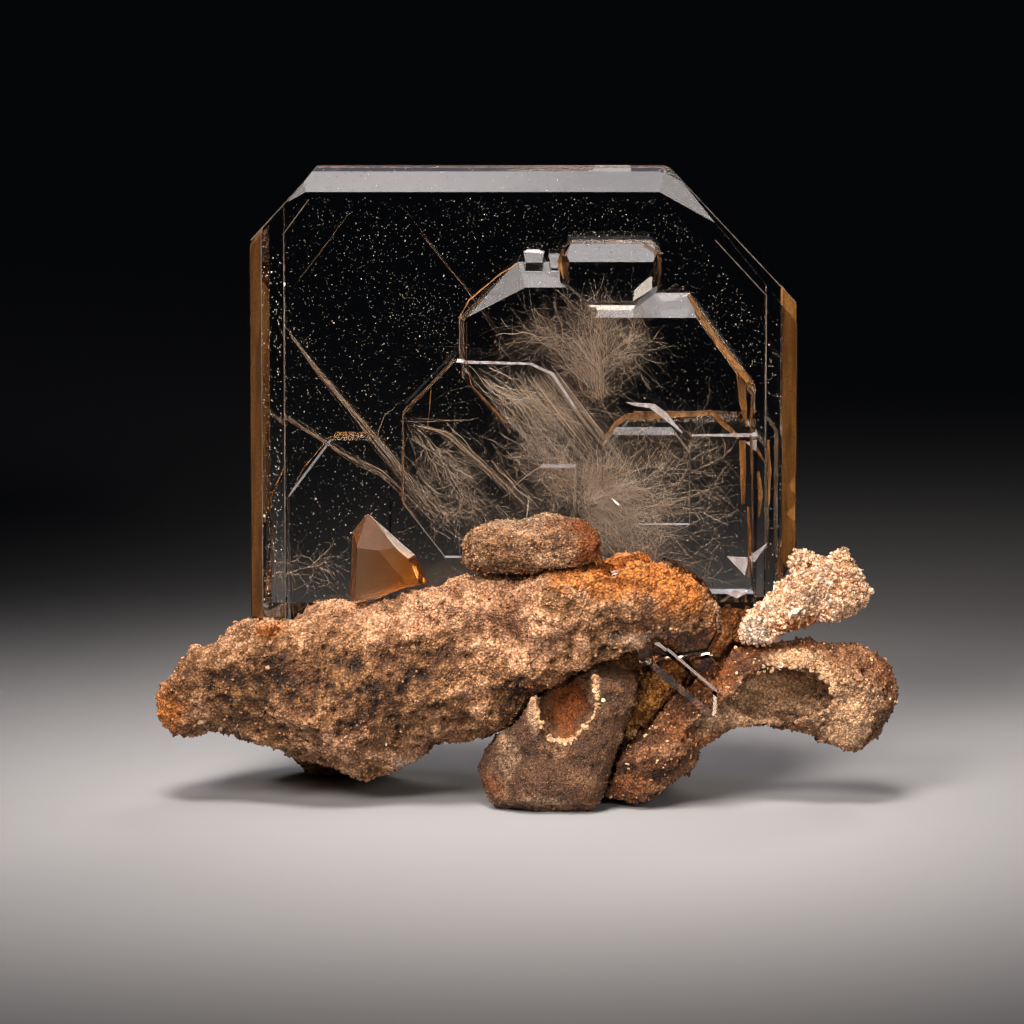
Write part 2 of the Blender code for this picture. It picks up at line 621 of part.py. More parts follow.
def small_crystals():
    """The clear crystals around the long blade's right end, and the honey-coloured stub."""
    lens_faces = [
        (FRONT, Vector((15.0, -9.7, 20.0))),
        (BACK, Vector((15.0, -7.4, 20.0))),
    ]
    rim = [(-60.0, 10.6, 20.0), (-8.0, 12.0, 25.3), (12.0, 13.6, 24.9), (34.0, 16.8, 23.1),
           (58.0, 18.6, 20.8), (86.0, 19.2, 18.4), (118.0, 18.6, 16.2), (170.0, 16.2, 15.0)]
    for bearing, x, z in rim:
        turn = math.radians(bearing)
        for way in (-1, 1):
            normal = direction(math.sin(turn), way * 0.5, math.cos(turn))
            lens_faces.append((normal, Vector((x, -8.6, z))))
    lens_faces.append((direction(-1.0, 0.0, -0.2), Vector((10.4, -8.6, 18.0))))
    return {
        "curved_clear_blade": lambda grow: crystal(
            "curved_clear_blade" + ("" if grow == 0.0 else "_space"),
            shifted(lens_faces, grow), "clear barite", reach=30.0),
        "clear_prism": lambda grow: blade_crystal(
            "clear_prism" + ("" if grow == 0.0 else "_space"), (15.4, -13.0, 13.4),
            (4.6, 1.3, 0.75), direction(0.66, 0.25, 0.75), direction(0.66, -0.15, -0.75),
            direction(-0.2, 1.0, -0.35), "clear barite", 0.8, grow),
        "gap_clear_plate": lambda grow: blade_crystal(
            "gap_clear_plate" + ("" if grow == 0.0 else "_space"), (17.7, -8.6, 14.2),
            (2.1, 1.1, 0.5), direction(0.8, 0.2, 0.6), direction(0.35, 0.0, -0.94),
            direction(-0.25, 1.0, 0.0), "clear barite", 0.7, grow),
        "honey_stub_crystal": lambda grow: crystal(
            "honey_stub_crystal" + ("" if grow == 0.0 else "_space"),
            shifted(stub_faces(), grow), "honey barite", reach=30.0),
    }


def stub_faces():
    """Stubby crystal with a sloping bright tip and a wedge running down to the right."""
    mid = Vector((-13.6, -5.6, 22.0))
    return [
        (FRONT, Vector((mid.x, -7.8, mid.z))),
        (BACK, Vector((mid.x, -3.5, mid.z))),
        (direction(-1.0, -0.15, 0.05), Vector((-17.3, mid.y, mid.z))),
        (direction(-0.75, -0.25, 0.62), Vector((-16.9, mid.y, 26.6))),
        (direction(0.1, -0.55, 0.80), Vector((-15.4, -5.2, 27.4))),
        (direction(0.66, -0.1, 0.74), Vector((-13.8, mid.y, 26.6))),
        (direction(0.90, -0.15, 0.42), Vector((-10.6, mid.y, 22.6))),
        (direction(0.3, -0.9, 0.25), Vector((-12.0, -7.6, 23.0))),
        (direction(0.0, 0.0, -1.0), Vector((mid.x, mid.y, 17.4))),
    ]


def upright_splinter(name, grow=0.0):
    return blade_crystal(name, (6.9, -12.6, 25.4), (1.5, 0.42, 0.35), direction(1.0, 0.1, 0.4),
                         direction(-0.38, 0.0, 1.0), direction(0.0, 1.0, 0.0), "clear barite",
                         grow=grow)


def flat_splinter(name, grow=0.0):
    return blade_crystal(name, (9.9, -12.9, 24.9), (2.2, 0.75, 0.4), direction(-0.3, 0.55, 1.0),
                         direction(1.0, 0.1, 0.3), direction(0.1, -0.85, 0.5), "clear barite",
                         grow=grow)


def cut_by(obj, *others):
    for other in others:
        boolean(obj, "DIFFERENCE", other)


def build():
    table = floor_cutter()
    main_crystal("main_plate_crystal")
    plate_space = make_guide(main_crystal("main_plate_space", GAP))
    slab_space = make_guide(slab("slab_space", ROUGH_GAP))
    hollow_space = make_guide(hollow("hollow_space", GAP))
    shell_space = make_guide(shell("shell_space", ROUGH_GAP))
    rib_space = make_guide(rib("rib_space", GAP))
    druse_space = make_guide(druse("druse_space", GAP))
    makers = small_crystals()
    space = {key: make_guide(maker(GAP)) for key, maker in makers.items()}
    piece = {key: maker(0.0) for key, maker in makers.items()}

    upright_space = make_guide(upright_splinter("upright_splinter_space", GAP))
    flat_space = make_guide(flat_splinter("flat_splinter_space", GAP))
    upright_splinter("upright_splinter")
    flat_splinter("flat_splinter")

    long_blade = slab("long_coated_blade")
    boolean(long_blade, "UNION", make_guide(rough_egg("heel", HEEL_CENTRE, HEEL_RADII, 0.0, 2.0)))
    boolean(long_blade, "UNION", make_guide(rough_egg("nub", NUB_CENTRE, NUB_RADII, 16.0, 6.0, 2)))
    cut_by(long_blade, plate_space, space["curved_clear_blade"], space["clear_prism"],
           upright_space, flat_space, table)

    perched = block("perched_coated_block")
    cut_by(perched, slab_space, plate_space, upright_space)

    broken = hollow("broken_hollow_blade")
    mouth = rough_egg("hollow_mouth", MOUTH_CENTRE, MOUTH_RADII, MOUTH_TURN, 5.0)
    cut_by(broken, slab_space, mouth, table)

    thin_shell = shell("drusy_shell_blade")
    cavity = rough_egg("shell_cavity", CAVITY_CENTRE, CAVITY_RADII, CAVITY_TURN, 9.0)
    scoop = rough_egg("shell_scoop", SCOOP_CENTRE, SCOOP_RADII, SCOOP_TURN, 4.0)
    cut_by(thin_shell, hollow_space, cavity, scoop, space["clear_prism"], space["gap_clear_plate"],
           table)

    ridge = rib("coated_rib")
    cut_by(ridge, hollow_space, shell_space, slab_space)

    cream = druse("cream_druse")
    for number, (centre, radii) in enumerate(DRUSE_LOBES):
        lobe = rough_egg("druse_lobe_" + str(number), centre, radii, 0.0, 2.0 + number, 2)
        boolean(cream, "UNION", lobe)
    cut_by(cream, plate_space, shell_space)

    middle = core("matrix_core")
    cut_by(middle, plate_space, slab_space, hollow_space, shell_space, rib_space, druse_space,
           space["curved_clear_blade"], space["gap_clear_plate"], table)

    cut_by(piece["honey_stub_crystal"], plate_space, slab_space)
    cut_by(piece["curved_clear_blade"], plate_space)
    cut_by(piece["gap_clear_plate"], hollow_space, space["curved_clear_blade"])
    cut_by(piece["clear_prism"], hollow_space)


def centre_on_origin():
    """Slide everything so that the bottom centre of the specimen's box is the origin."""
    bpy.context.view_layer.update()
    depsgraph = bpy.context.evaluated_depsgraph_get()
    low = np.full(3, np.inf)
    high = np.full(3, -np.inf)
    for obj in bpy.context.scene.objects:
        if obj.hide_render:
            continue
        mesh = obj.evaluated_get(depsgraph).data
        places = np.empty(3 * len(mesh.vertices))
        mesh.vertices.foreach_get("co", places)
        places = places.reshape(-1, 3)
        low = np.minimum(low, places.min(axis=0))
        high = np.maximum(high, places.max(axis=0))
    middle = 0.5 * (low + high)
    for obj in bpy.context.scene.objects:
        obj.location = (-middle[0], -middle[1], 0.0)


for stale in list(bpy.data.objects):
    bpy.data.objects.remove(stale)
build()
centre_on_origin()
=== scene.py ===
"""Barite specimen, the looks: a clear tabular crystal on sandy-coated blades of the same mineral.

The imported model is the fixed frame. The clear crystals keep their solids and get a glass-clear
finish, and the fibres, specks and amber films inside them are made here. Each coated blade gets
a finer skin in place of its solid, with the grains and small crystals that grew on it. Lengths in
the tables are millimetres in the frame's axes: x to the right, y away from the viewer, z up.
"""

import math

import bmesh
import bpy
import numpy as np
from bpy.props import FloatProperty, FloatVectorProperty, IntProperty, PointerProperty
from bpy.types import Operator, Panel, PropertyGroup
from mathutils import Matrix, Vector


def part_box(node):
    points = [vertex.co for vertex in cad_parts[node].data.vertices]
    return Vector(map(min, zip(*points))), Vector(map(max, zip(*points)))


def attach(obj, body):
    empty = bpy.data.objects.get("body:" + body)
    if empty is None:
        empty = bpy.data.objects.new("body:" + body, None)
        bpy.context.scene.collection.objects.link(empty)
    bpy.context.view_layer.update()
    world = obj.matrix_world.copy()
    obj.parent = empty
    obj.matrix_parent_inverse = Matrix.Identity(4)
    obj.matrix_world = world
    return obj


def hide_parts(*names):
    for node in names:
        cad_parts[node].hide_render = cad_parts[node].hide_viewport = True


bl_info = {
    "name": "Barite Specimen",
    "version": (1, 0, 0),
    "blender": (4, 5, 0),
    "location": "View3D > Sidebar > Barite",
    "description": "Builds the finish of a clear barite crystal on its coated matrix",
    "category": "Object",
}

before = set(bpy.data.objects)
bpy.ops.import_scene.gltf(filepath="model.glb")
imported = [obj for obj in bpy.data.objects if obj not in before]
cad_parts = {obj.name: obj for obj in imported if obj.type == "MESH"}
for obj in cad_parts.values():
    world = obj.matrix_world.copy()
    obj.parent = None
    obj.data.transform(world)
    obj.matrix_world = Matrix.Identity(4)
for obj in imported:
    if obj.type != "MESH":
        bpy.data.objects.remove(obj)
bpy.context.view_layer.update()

MM = 0.001
BODY = "root"
BARITE_IOR = 1.64
TINY = 1e-12

# The clear plate's box from the frame, in mm. The plate that grew on its back reaches BACK_REACH
# behind its middle plane, and its two large faces lie PLATE_HALF before and behind that plane
BACK_REACH = 4.8
PLATE_HALF = 3.2
PLATE_LOW, PLATE_HIGH = (np.array(corner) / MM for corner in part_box("main_plate_crystal"))
MIDDLE = PLATE_HIGH[1] - BACK_REACH
FRONT = MIDDLE - PLATE_HALF
BACK = MIDDLE + PLATE_HALF

# The plate's left and right sides: which way each faces along x, its edge, the widths of its
# stained side face and of the dotted bevel inside it, the heights between which it is stained, and
# how far the stain's top rises over its width, as a share of that width
LEFT = (-1, PLATE_LOW[0], 1.2, 2.3, 17.9, 55.2, 1.28)
RIGHT = (1, PLATE_HIGH[0], 1.5, 1.7, 23.4, 49.2, 1.22)
SIDE_SLOPE = math.tan(math.radians(38.9))

# Camera: eye level just above the specimen, long lens; mm and degrees
VIEW_CENTRE = (-1.5, MIDDLE, 28.4)
VIEW_DISTANCE = 600.0
VIEW_ELEVATION = 7.0
VIEW_LENS = 210.9


def linear(colour, alpha=1.0):
    """Linear red, green, blue and alpha, from an sRGB hex value such as C89A62 or from a setting."""
    if not isinstance(colour, str):
        return (*colour, alpha)
    parts = [int(colour[i:i + 2], 16) / 255 for i in (0, 2, 4)]
    return (*[p / 12.92 if p <= 0.04045 else ((p + 0.055) / 1.055) ** 2.4 for p in parts], alpha)


def per_mm(size_mm):
    """Texture scale whose pattern repeats about every size_mm, for Object coordinates in metres."""
    return 1.0 / (size_mm * MM)


# Numpy fields. The random numbers at their lattice corners are the fractions of a large sine: its
# direction, its step from seed to seed and its height
SINE_WAY = np.array([127.1, 311.7, 74.7])
SINE_STEP = 53.3
SINE_HEIGHT = 43758.5453
SEED_SHIFT = 0.37
FIELD_GAIN = 1.6


def corner_value(corner, seed):
    """Number from 0 to 1 for each whole-numbered lattice corner: the fraction of a large sine."""
    wave = np.sin(corner @ SINE_WAY + SINE_STEP * seed) * SINE_HEIGHT
    return wave - np.floor(wave)


def corner_triple(corner, seed):
    """Three such numbers for each corner, one along each axis."""
    return np.stack([corner_value(corner, seed + axis) for axis in range(3)], axis=1)


def smooth_field(points, size, seed):
    """Smooth random field, about -1 to 1: random slopes at lattice corners, blended between them.

    Each corner of a lattice of the given size has a random slope; a point takes each corner's
    slope times its distance, weighted by 6t^5 - 15t^4 + 10t^3 along each axis.
    """
    cell = points / size + SEED_SHIFT * seed
    base = np.floor(cell)
    part = cell - base
    ease = part ** 3 * (part * (6 * part - 15) + 10)
    total = np.zeros(len(points))
    for offset in np.ndindex(2, 2, 2):
        offset = np.array(offset, float)
        corner = base + offset
        slope = corner_triple(corner, seed) * 2 - 1
        weight = np.prod(np.where(offset > 0, ease, 1 - ease), axis=1)
        total += weight * ((part - offset) * slope).sum(axis=1)
    return FIELD_GAIN * total


def cell_field(points, size, seed):
    """Distance to the nearest of one random point per cell, in cells, and that point's number."""
    cell = points / size
    base = np.floor(cell)
    nearest = np.full(len(points), np.inf)
    number = np.zeros(len(points))
    for offset in np.ndindex(3, 3, 3):
        corner = base + np.array(offset, float) - 1
        away = np.linalg.norm(cell - (corner + corner_triple(corner, seed)), axis=1)
        closer = away < nearest
        nearest = np.where(closer, away, nearest)
        number = np.where(closer, corner_value(corner, seed + 7), number)
    return nearest, number


def step_up(value, low, high):
    """0 below low, 1 above high, and a smooth rise between them."""
    t = np.clip((value - low) / (high - low), 0, 1)
    return t * t * (3 - 2 * t)


# Meshes: a film's thickness, its steps per mm, and a direction that no fibre runs along
FILM_THICK = 0.05
RIBBON_STEPS_PER_MM = 3.0
NEARLY_BACK = np.array([0.05, 1.0, 0.03])


def unit(vectors):
    """Vectors scaled to a length of one."""
    return vectors / (np.linalg.norm(vectors, axis=-1, keepdims=True) + TINY)


def reach_along(line):
    """Distance of each point of a bent line from its start: the sum of the legs before it."""
    return np.concatenate([[0.0], np.cumsum(np.linalg.norm(np.diff(line, axis=0), axis=1))])


def points_along(line, distances):
    """Points at the given distances along a bent line, on the straight legs between its points."""
    reach = reach_along(line)
    return np.stack([np.interp(distances, reach, row) for row in line.T], axis=-1)


def new_mesh(name, points_mm, faces):
    """Mesh from an array of points in mm and an array of equal-sided faces."""
    mesh = bpy.data.meshes.new(name)
    mesh.vertices.add(len(points_mm))
    mesh.vertices.foreach_set("co", (np.asarray(points_mm) * MM).astype(np.float32).ravel())
    mesh.loops.add(faces.size)
    mesh.loops.foreach_set("vertex_index", faces.astype(np.int32).ravel())
    mesh.polygons.add(len(faces))
    mesh.polygons.foreach_set("loop_start", np.arange(0, faces.size, faces.shape[1], dtype=np.int32))
    mesh.update(calc_edges=True)
    return mesh


def set_tone(mesh, values, name="tone"):
    """Store one number per point, for a material to read."""
    attribute = mesh.attributes.new(name, "FLOAT", "POINT")
    attribute.data.foreach_set("value", np.asarray(values, np.float32).ravel())


def add_piece(name, mesh, material, smooth=False, replaces=()):
    """Link a mesh as a piece of the specimen, with its material and body."""
    piece = bpy.data.objects.new(name, mesh)
    bpy.context.scene.collection.objects.link(piece)
    mesh.materials.clear()
    mesh.materials.append(material)
    mesh.polygons.foreach_set("use_smooth", np.full(len(mesh.polygons), smooth))
    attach(piece, BODY)
    if replaces:
        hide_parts(*replaces)
    return piece


def add_parts(name, parts, material):
    """Add several (points, faces) arrays as one piece."""
    return add_piece(name, new_mesh(name, *joined(parts)), material)


def ring_walls(near, far):
    """Two triangles for each side between two rings of corner numbers; a ring is the last axis."""
    near_next = np.roll(near, -1, axis=-1)
    far_next = np.roll(far, -1, axis=-1)
    pairs = ((near, near_next, far_next), (near, far_next, far))
    return np.vstack([np.stack(corners, axis=-1).reshape(-1, 3) for corners in pairs])


def thin_solid(outer, inner, faces, rim):
    """Closed solid between two copies of a surface: the faces on both, and walls along the rim."""
    walls = ring_walls(rim, rim + len(outer))[:, ::-1]
    return np.vstack([outer, inner]), np.vstack([faces, faces[:, ::-1] + len(outer), walls])


def tubes(paths, radii):
    """Three-sided closed tubes along many centre lines at once: a triangle carried along a path.

    paths is (tube, step, xyz) and radii (tube, step). At each step the triangle's corners lie at
    the radius from the line, 120 degrees apart, square to the line's direction.
    """
    count, steps, _ = paths.shape
    ahead = unit(np.gradient(paths, axis=1))
    side = unit(np.cross(ahead, NEARLY_BACK))
    other = np.cross(ahead, side)
    turn = np.arange(3) * 2 * math.pi / 3
    ring = (side[:, :, None] * np.cos(turn)[None, None, :, None]
            + other[:, :, None] * np.sin(turn)[None, None, :, None])
    points = paths[:, :, None] + radii[:, :, None, None] * ring
    index = np.arange(count * steps * 3).reshape(count, steps, 3)
    walls = ring_walls(index[:, :-1], index[:, 1:])
    return points.reshape(-1, 3), np.vstack([walls, index[:, 0, ::-1], index[:, -1]])


def ribbon(outline, width, depth, tilt, wobble, seed):
    """Thin film along an outline in the plate: a flat strip of four corners carried along it.

    outline rows are x, z; the strip is as wide as width says, lies at the given depth, and its
    two edges differ in depth by tilt. Each edge wobbles by a smooth field of its own.
    """
    outline = np.asarray(outline, float)
    reach = reach_along(outline)
    count = max(2, int(reach[-1] * RIBBON_STEPS_PER_MM))
    along = np.unique(np.concatenate([np.linspace(0, reach[-1], count), reach]))
    line = points_along(outline, along)
    ahead = unit(np.gradient(line, axis=0))
    across = np.stack([-ahead[:, 1], ahead[:, 0]], axis=1)
    widths = np.interp(along, np.linspace(0, reach[-1], np.size(width)), np.ravel(width))
    spot = np.column_stack([line[:, 0], np.zeros(len(line)), line[:, 1]])
    points = []
    for sign, wave_mm, wave_seed, lifts in ((1, 0.9, seed, (0.5, -0.5)),
                                            (-1, 0.7, seed + 5, (-0.5, 0.5))):
        edge = 0.5 * widths + wobble * smooth_field(spot, wave_mm, wave_seed)
        flat = line + across * (sign * edge)[:, None]
        for lift in lifts:
            y = depth + sign * 0.5 * tilt + lift * FILM_THICK
            points.append(np.column_stack([flat[:, 0], np.full(len(flat), y), flat[:, 1]]))
    points = np.stack(points, axis=1)
    index = np.arange(len(line) * 4).reshape(-1, 4)
    ends = [index[0][[[2, 1, 0], [3, 2, 0]]], index[-1][[[0, 1, 2], [0, 2, 3]]]]
    return points.reshape(-1, 3), np.vstack([ring_walls(index[:-1], index[1:]), *ends])


def joined(parts):
    """Several (points, faces) arrays as one."""
    points = np.vstack([p for p, _ in parts])
    starts = np.cumsum([0] + [len(p) for p, _ in parts[:-1]])
    faces = np.vstack([f + start for (_, f), start in zip(parts, starts)])
    return points, faces


# Small shapes that are repeated thousands of times, as corners and faces of a size of one
OCTAHEDRON = (
    np.array([[1, 0, 0], [-1, 0, 0], [0, 1, 0], [0, -1, 0], [0, 0, 1], [0, 0, -1]], float),
    np.array([[0, 2, 4], [2, 1, 4], [1, 3, 4], [3, 0, 4], [2, 0, 5], [1, 2, 5], [3, 1, 5], [0, 3, 5]]),
)
TABLET = (
    np.array([[x, y, z] for z in (-0.32, 0.32) for x, y in
              ((1.0, 0.0), (0.35, 0.72), (-0.7, 0.72), (-1.0, 0.0), (-0.35, -0.72), (0.7, -0.72))]),
    np.vstack([[[5, i, i - 1] for i in (4, 3, 2, 1)], [[6, i, i + 1] for i in (7, 8, 9, 10)],
               ring_walls(np.arange(6), np.arange(6, 12))]),
)
PEBBLE = (1.15 * OCTAHEDRON[0], OCTAHEDRON[1])
SPECK = (
    0.8 * np.array([[1, 1, 1], [1, -1, -1], [-1, 1, -1], [-1, -1, 1]], float),
    np.array([[0, 1, 2], [0, 3, 1], [0, 2, 3], [1, 3, 2]]),
)


def turned_axes(normals, tilt, rng):
    """Three perpendicular axes per row: the third near the normal, tilted at random by tilt."""
    up = unit(normals + tilt * rng.normal(size=normals.shape))
    side = unit(np.cross(up, rng.normal(size=normals.shape)))
    return np.stack([side, np.cross(up, side), up], axis=2)


def many(shape, places, normals, sizes, rng, tilt=0.3, rough=0.0):
    """One small shape at many places at once: its corners scaled, turned and moved as arrays.

    sizes is (count, 3), the half sizes along the shape's own axes; rough moves each corner in or
    out at random by that share.
    """
    corners, faces = shape
    axes = turned_axes(normals, tilt, rng)
    local = corners[None] * sizes[:, None]
    if rough:
        local = local * (1 + rough * rng.uniform(-1, 1, (len(places), len(corners), 1)))
    points = places[:, None] + np.einsum("nij,nkj->nki", axes, local)
    index = faces[None] + (np.arange(len(places)) * len(corners))[:, None, None]
    return points.reshape(-1, 3), index.reshape(-1, 3)


# Materials: the directions of the plate's etched corner bevel and dotted top bevel, how nearly a
# face has to point that way, and the sizes in mm of the ripples, pits and dots on the crystal
CORNER_BEVEL = (0.387, -0.604, 0.697)
TOP_BEVEL = (0.0, -0.606, 0.795)
FACET_MARGIN = 0.02
RIPPLE_MM, PIT_MM, DOT_MM = 2.2, 0.22, 0.55
# The honey stub turns from its pale to its deeper colour between these places along x, in mm
HONEY_FROM, HONEY_TO = -13.2, -9.6


def add_node(tree, kind, links=None, values=None, **settings):
    """Add one node: settings are its own, values its sockets' numbers, links what feeds them."""
    node = tree.nodes.new(kind)
    for key, value in settings.items():
        setattr(node, key, value)
    for key, value in (values or {}).items():
        node.inputs[key].default_value = value
    for key, socket in (links or {}).items():
        tree.links.new(socket, node.inputs[key])
    return node


def new_material(name):
    """New material, its node tree and its main shader."""
    material = bpy.data.materials.new(name)
    material.use_nodes = True
    tree = material.node_tree
    return material, tree, tree.nodes["Principled BSDF"]


def ramp(tree, factor, stops):
    """Colour ramp with (position, colour) stops."""
    node = add_node(tree, "ShaderNodeValToRGB", {"Fac": factor})
    elements = node.color_ramp.elements
    while len(elements) < len(stops):
        elements.new(0.5)
    for element, (position, colour) in zip(elements, stops):
        element.position = position
        element.color = linear(colour)
    return node.outputs["Color"]


def mixed(tree, factor, first, second, blend="MIX"):
    """Mix of two colours, each a socket or a linear colour."""
    node = add_node(tree, "ShaderNodeMix", data_type="RGBA", blend_type=blend)
    for key, value in ((0, factor), (6, first), (7, second)):
        if isinstance(value, bpy.types.NodeSocket):
            tree.links.new(value, node.inputs[key])
        else:
            node.inputs[key].default_value = value
    return node.outputs[2]


def between(tree, value, low, high, out_low=0.0, out_high=1.0):
    """Value's place from low to high, as a number from out_low to out_high, clamped."""
    node = add_node(tree, "ShaderNodeMapRange", {"Value": value},
                    {"From Min": low, "From Max": high, "To Min": out_low, "To Max": out_high})
    return node.outputs["Result"]


def noise(tree, size_mm, detail=2.0, rough=0.55, stretch=None):
    """Noise on Object coordinates whose blotches are about size_mm across."""
    place = add_node(tree, "ShaderNodeTexCoord").outputs["Object"]
    if stretch:
        place = add_node(tree, "ShaderNodeMapping", {"Vector": place}, {"Scale": stretch}).outputs[0]
    node = add_node(tree, "ShaderNodeTexNoise", {"Vector": place},
                    {"Scale": per_mm(size_mm), "Detail": detail, "Roughness": rough})
    return node.outputs["Fac"]


def read_tone(tree, name="tone"):
    """The number that the mesh stores for each point under this name."""
    return add_node(tree, "ShaderNodeAttribute", attribute_name=name).outputs["Fac"]


def grain_cells(tree, size_mm):
    """Cells about size_mm across on Object coordinates, each with a colour of its own."""
    place = add_node(tree, "ShaderNodeTexCoord").outputs["Object"]
    return add_node(tree, "ShaderNodeTexVoronoi", {"Vector": place}, {"Scale": per_mm(size_mm)})


def maths(tree, operation, *terms):
    """Result of one Math node over its terms, each a socket or a number."""
    links = {key: term for key, term in enumerate(terms) if isinstance(term, bpy.types.NodeSocket)}
    values = {key: term for key, term in enumerate(terms) if key not in links}
    return add_node(tree, "ShaderNodeMath", links, values, operation=operation).outputs[0]


def raise_bumps(tree, shader, height, strength, distance_mm):
    """Bend the shader's normal by a height of up to distance_mm."""
    bump = add_node(tree, "ShaderNodeBump", {"Height": height},
                    {"Strength": strength, "Distance": distance_mm * MM})
    tree.links.new(bump.outputs[0], shader.inputs["Normal"])


def facet(tree, normal):
    """1 on the crystal face that points along normal, 0 elsewhere: from the dot product of both."""
    face = add_node(tree, "ShaderNodeNewGeometry").outputs["Normal"]
    dot = add_node(tree, "ShaderNodeVectorMath", {0: face}, {1: tuple(unit(np.array(normal)))},
                   operation="DOT_PRODUCT")
    return between(tree, dot.outputs["Value"], 1 - FACET_MARGIN, 1 - 0.5 * FACET_MARGIN)


def clear_barite_glass(name, tint, absorb, density, etched=False):
    """Natural barite crystal with its own growth faces, water-clear.

    To the eye: glass of a high index, so bright flashes from whichever faces meet the light, and
    on some faces the pits that natural etching leaves.
    """
    material, tree, shader = new_material(name)
    shader.inputs["Base Color"].default_value = linear(tint)
    shader.inputs["Transmission Weight"].default_value = 1.0
    shader.inputs["IOR"].default_value = BARITE_IOR
    shader.inputs["Roughness"].default_value = 0.0
    volume = add_node(tree, "ShaderNodeVolumeAbsorption", None,
                      {"Color": linear(absorb), "Density": density})
    tree.links.new(volume.outputs[0], tree.nodes["Material Output"].inputs["Volume"])
    place = add_node(tree, "ShaderNodeTexCoord").outputs["Object"]
    ripple = add_node(tree, "ShaderNodeTexNoise", {"Vector": place}, {"Scale": per_mm(RIPPLE_MM)})
    if not etched:
        raise_bumps(tree, shader, ripple.outputs["Fac"], 0.05, 0.05)
        return material
    pits = between(tree, grain_cells(tree, PIT_MM).outputs["Distance"], 0.1, 0.5)
    dots = between(tree, grain_cells(tree, DOT_MM).outputs["Distance"], 0.12, 0.2)
    marks = maths(tree, "ADD", maths(tree, "MULTIPLY", pits, facet(tree, CORNER_BEVEL)),
                 maths(tree, "MULTIPLY", dots, facet(tree, TOP_BEVEL)))
    raise_bumps(tree, shader, maths(tree, "MULTIPLY_ADD", ripple.outputs["Fac"], 0.12, marks), 0.5, 0.04)
    return material


def honey_barite_glass(name):
    """Natural barite stained by iron as it grew: honey-coloured and a little cloudy.

    To the eye: glass that glows amber inside, paler at one side, with softened flashes.
    """
    material = clear_barite_glass(name, "F2CC96", "CC8A3C", 60.0)
    tree = material.node_tree
    shader = tree.nodes["Principled BSDF"]
    shader.inputs["Roughness"].default_value = 0.16
    shader.inputs["Transmission Weight"].default_value = 0.86
    place = add_node(tree, "ShaderNodeTexCoord").outputs["Object"]
    across = add_node(tree, "ShaderNodeSeparateXYZ", {"Vector": place}).outputs["X"]
    uneven = maths(tree, "MULTIPLY_ADD", noise(tree, 2.0, 3.0), 5.0 * MM, across)
    amber = between(tree, uneven, HONEY_FROM * MM, HONEY_TO * MM)
    colour = mixed(tree, amber, linear("B48A66"), linear(looks().honey_colour))
    tree.links.new(colour, shader.inputs["Base Color"])
    return material


def face_film(name, light, dark, streak_mm=0.5):
    """Film on or just inside a crystal face: iron oxide on the side faces, and painted light elsewhere,
    as the matrix's painted reflection along the rims, painted glints and painted edge sheen.

    To the eye: thin and matt, with dark and light streaks up the face and fine dark specks.
    """
    material, tree, shader = new_material(name)
    streaks = noise(tree, streak_mm, detail=3.0, stretch=(1.0, 1.0, 0.15))
    specks = noise(tree, 0.22, detail=1.0)
    colour = ramp(tree, streaks, [(0.36, dark), (0.58, light)])
    dotted = between(tree, specks, 0.5, 0.62, 0.0, 0.8)
    colour = mixed(tree, dotted, colour, linear(dark))
    tree.links.new(colour, shader.inputs["Base Color"])
    shader.inputs["Roughness"].default_value = 0.6
    return material


def fibre_mineral(name, dark, middle, pale):
    """Hair-fine mineral fibres enclosed in the crystal: matt tan threads, some paler than others."""
    material, tree, shader = new_material(name)
    colour = ramp(tree, read_tone(tree), [(0.0, dark), (0.6, middle), (1.0, pale)])
    cloud = noise(tree, 3.5, detail=1.0)
    colour = mixed(tree, between(tree, cloud, 0.45, 0.75, 0.0, 0.5), colour, linear(dark))
    tree.links.new(colour, shader.inputs["Base Color"])
    shader.inputs["Roughness"].default_value = 0.4
    return material


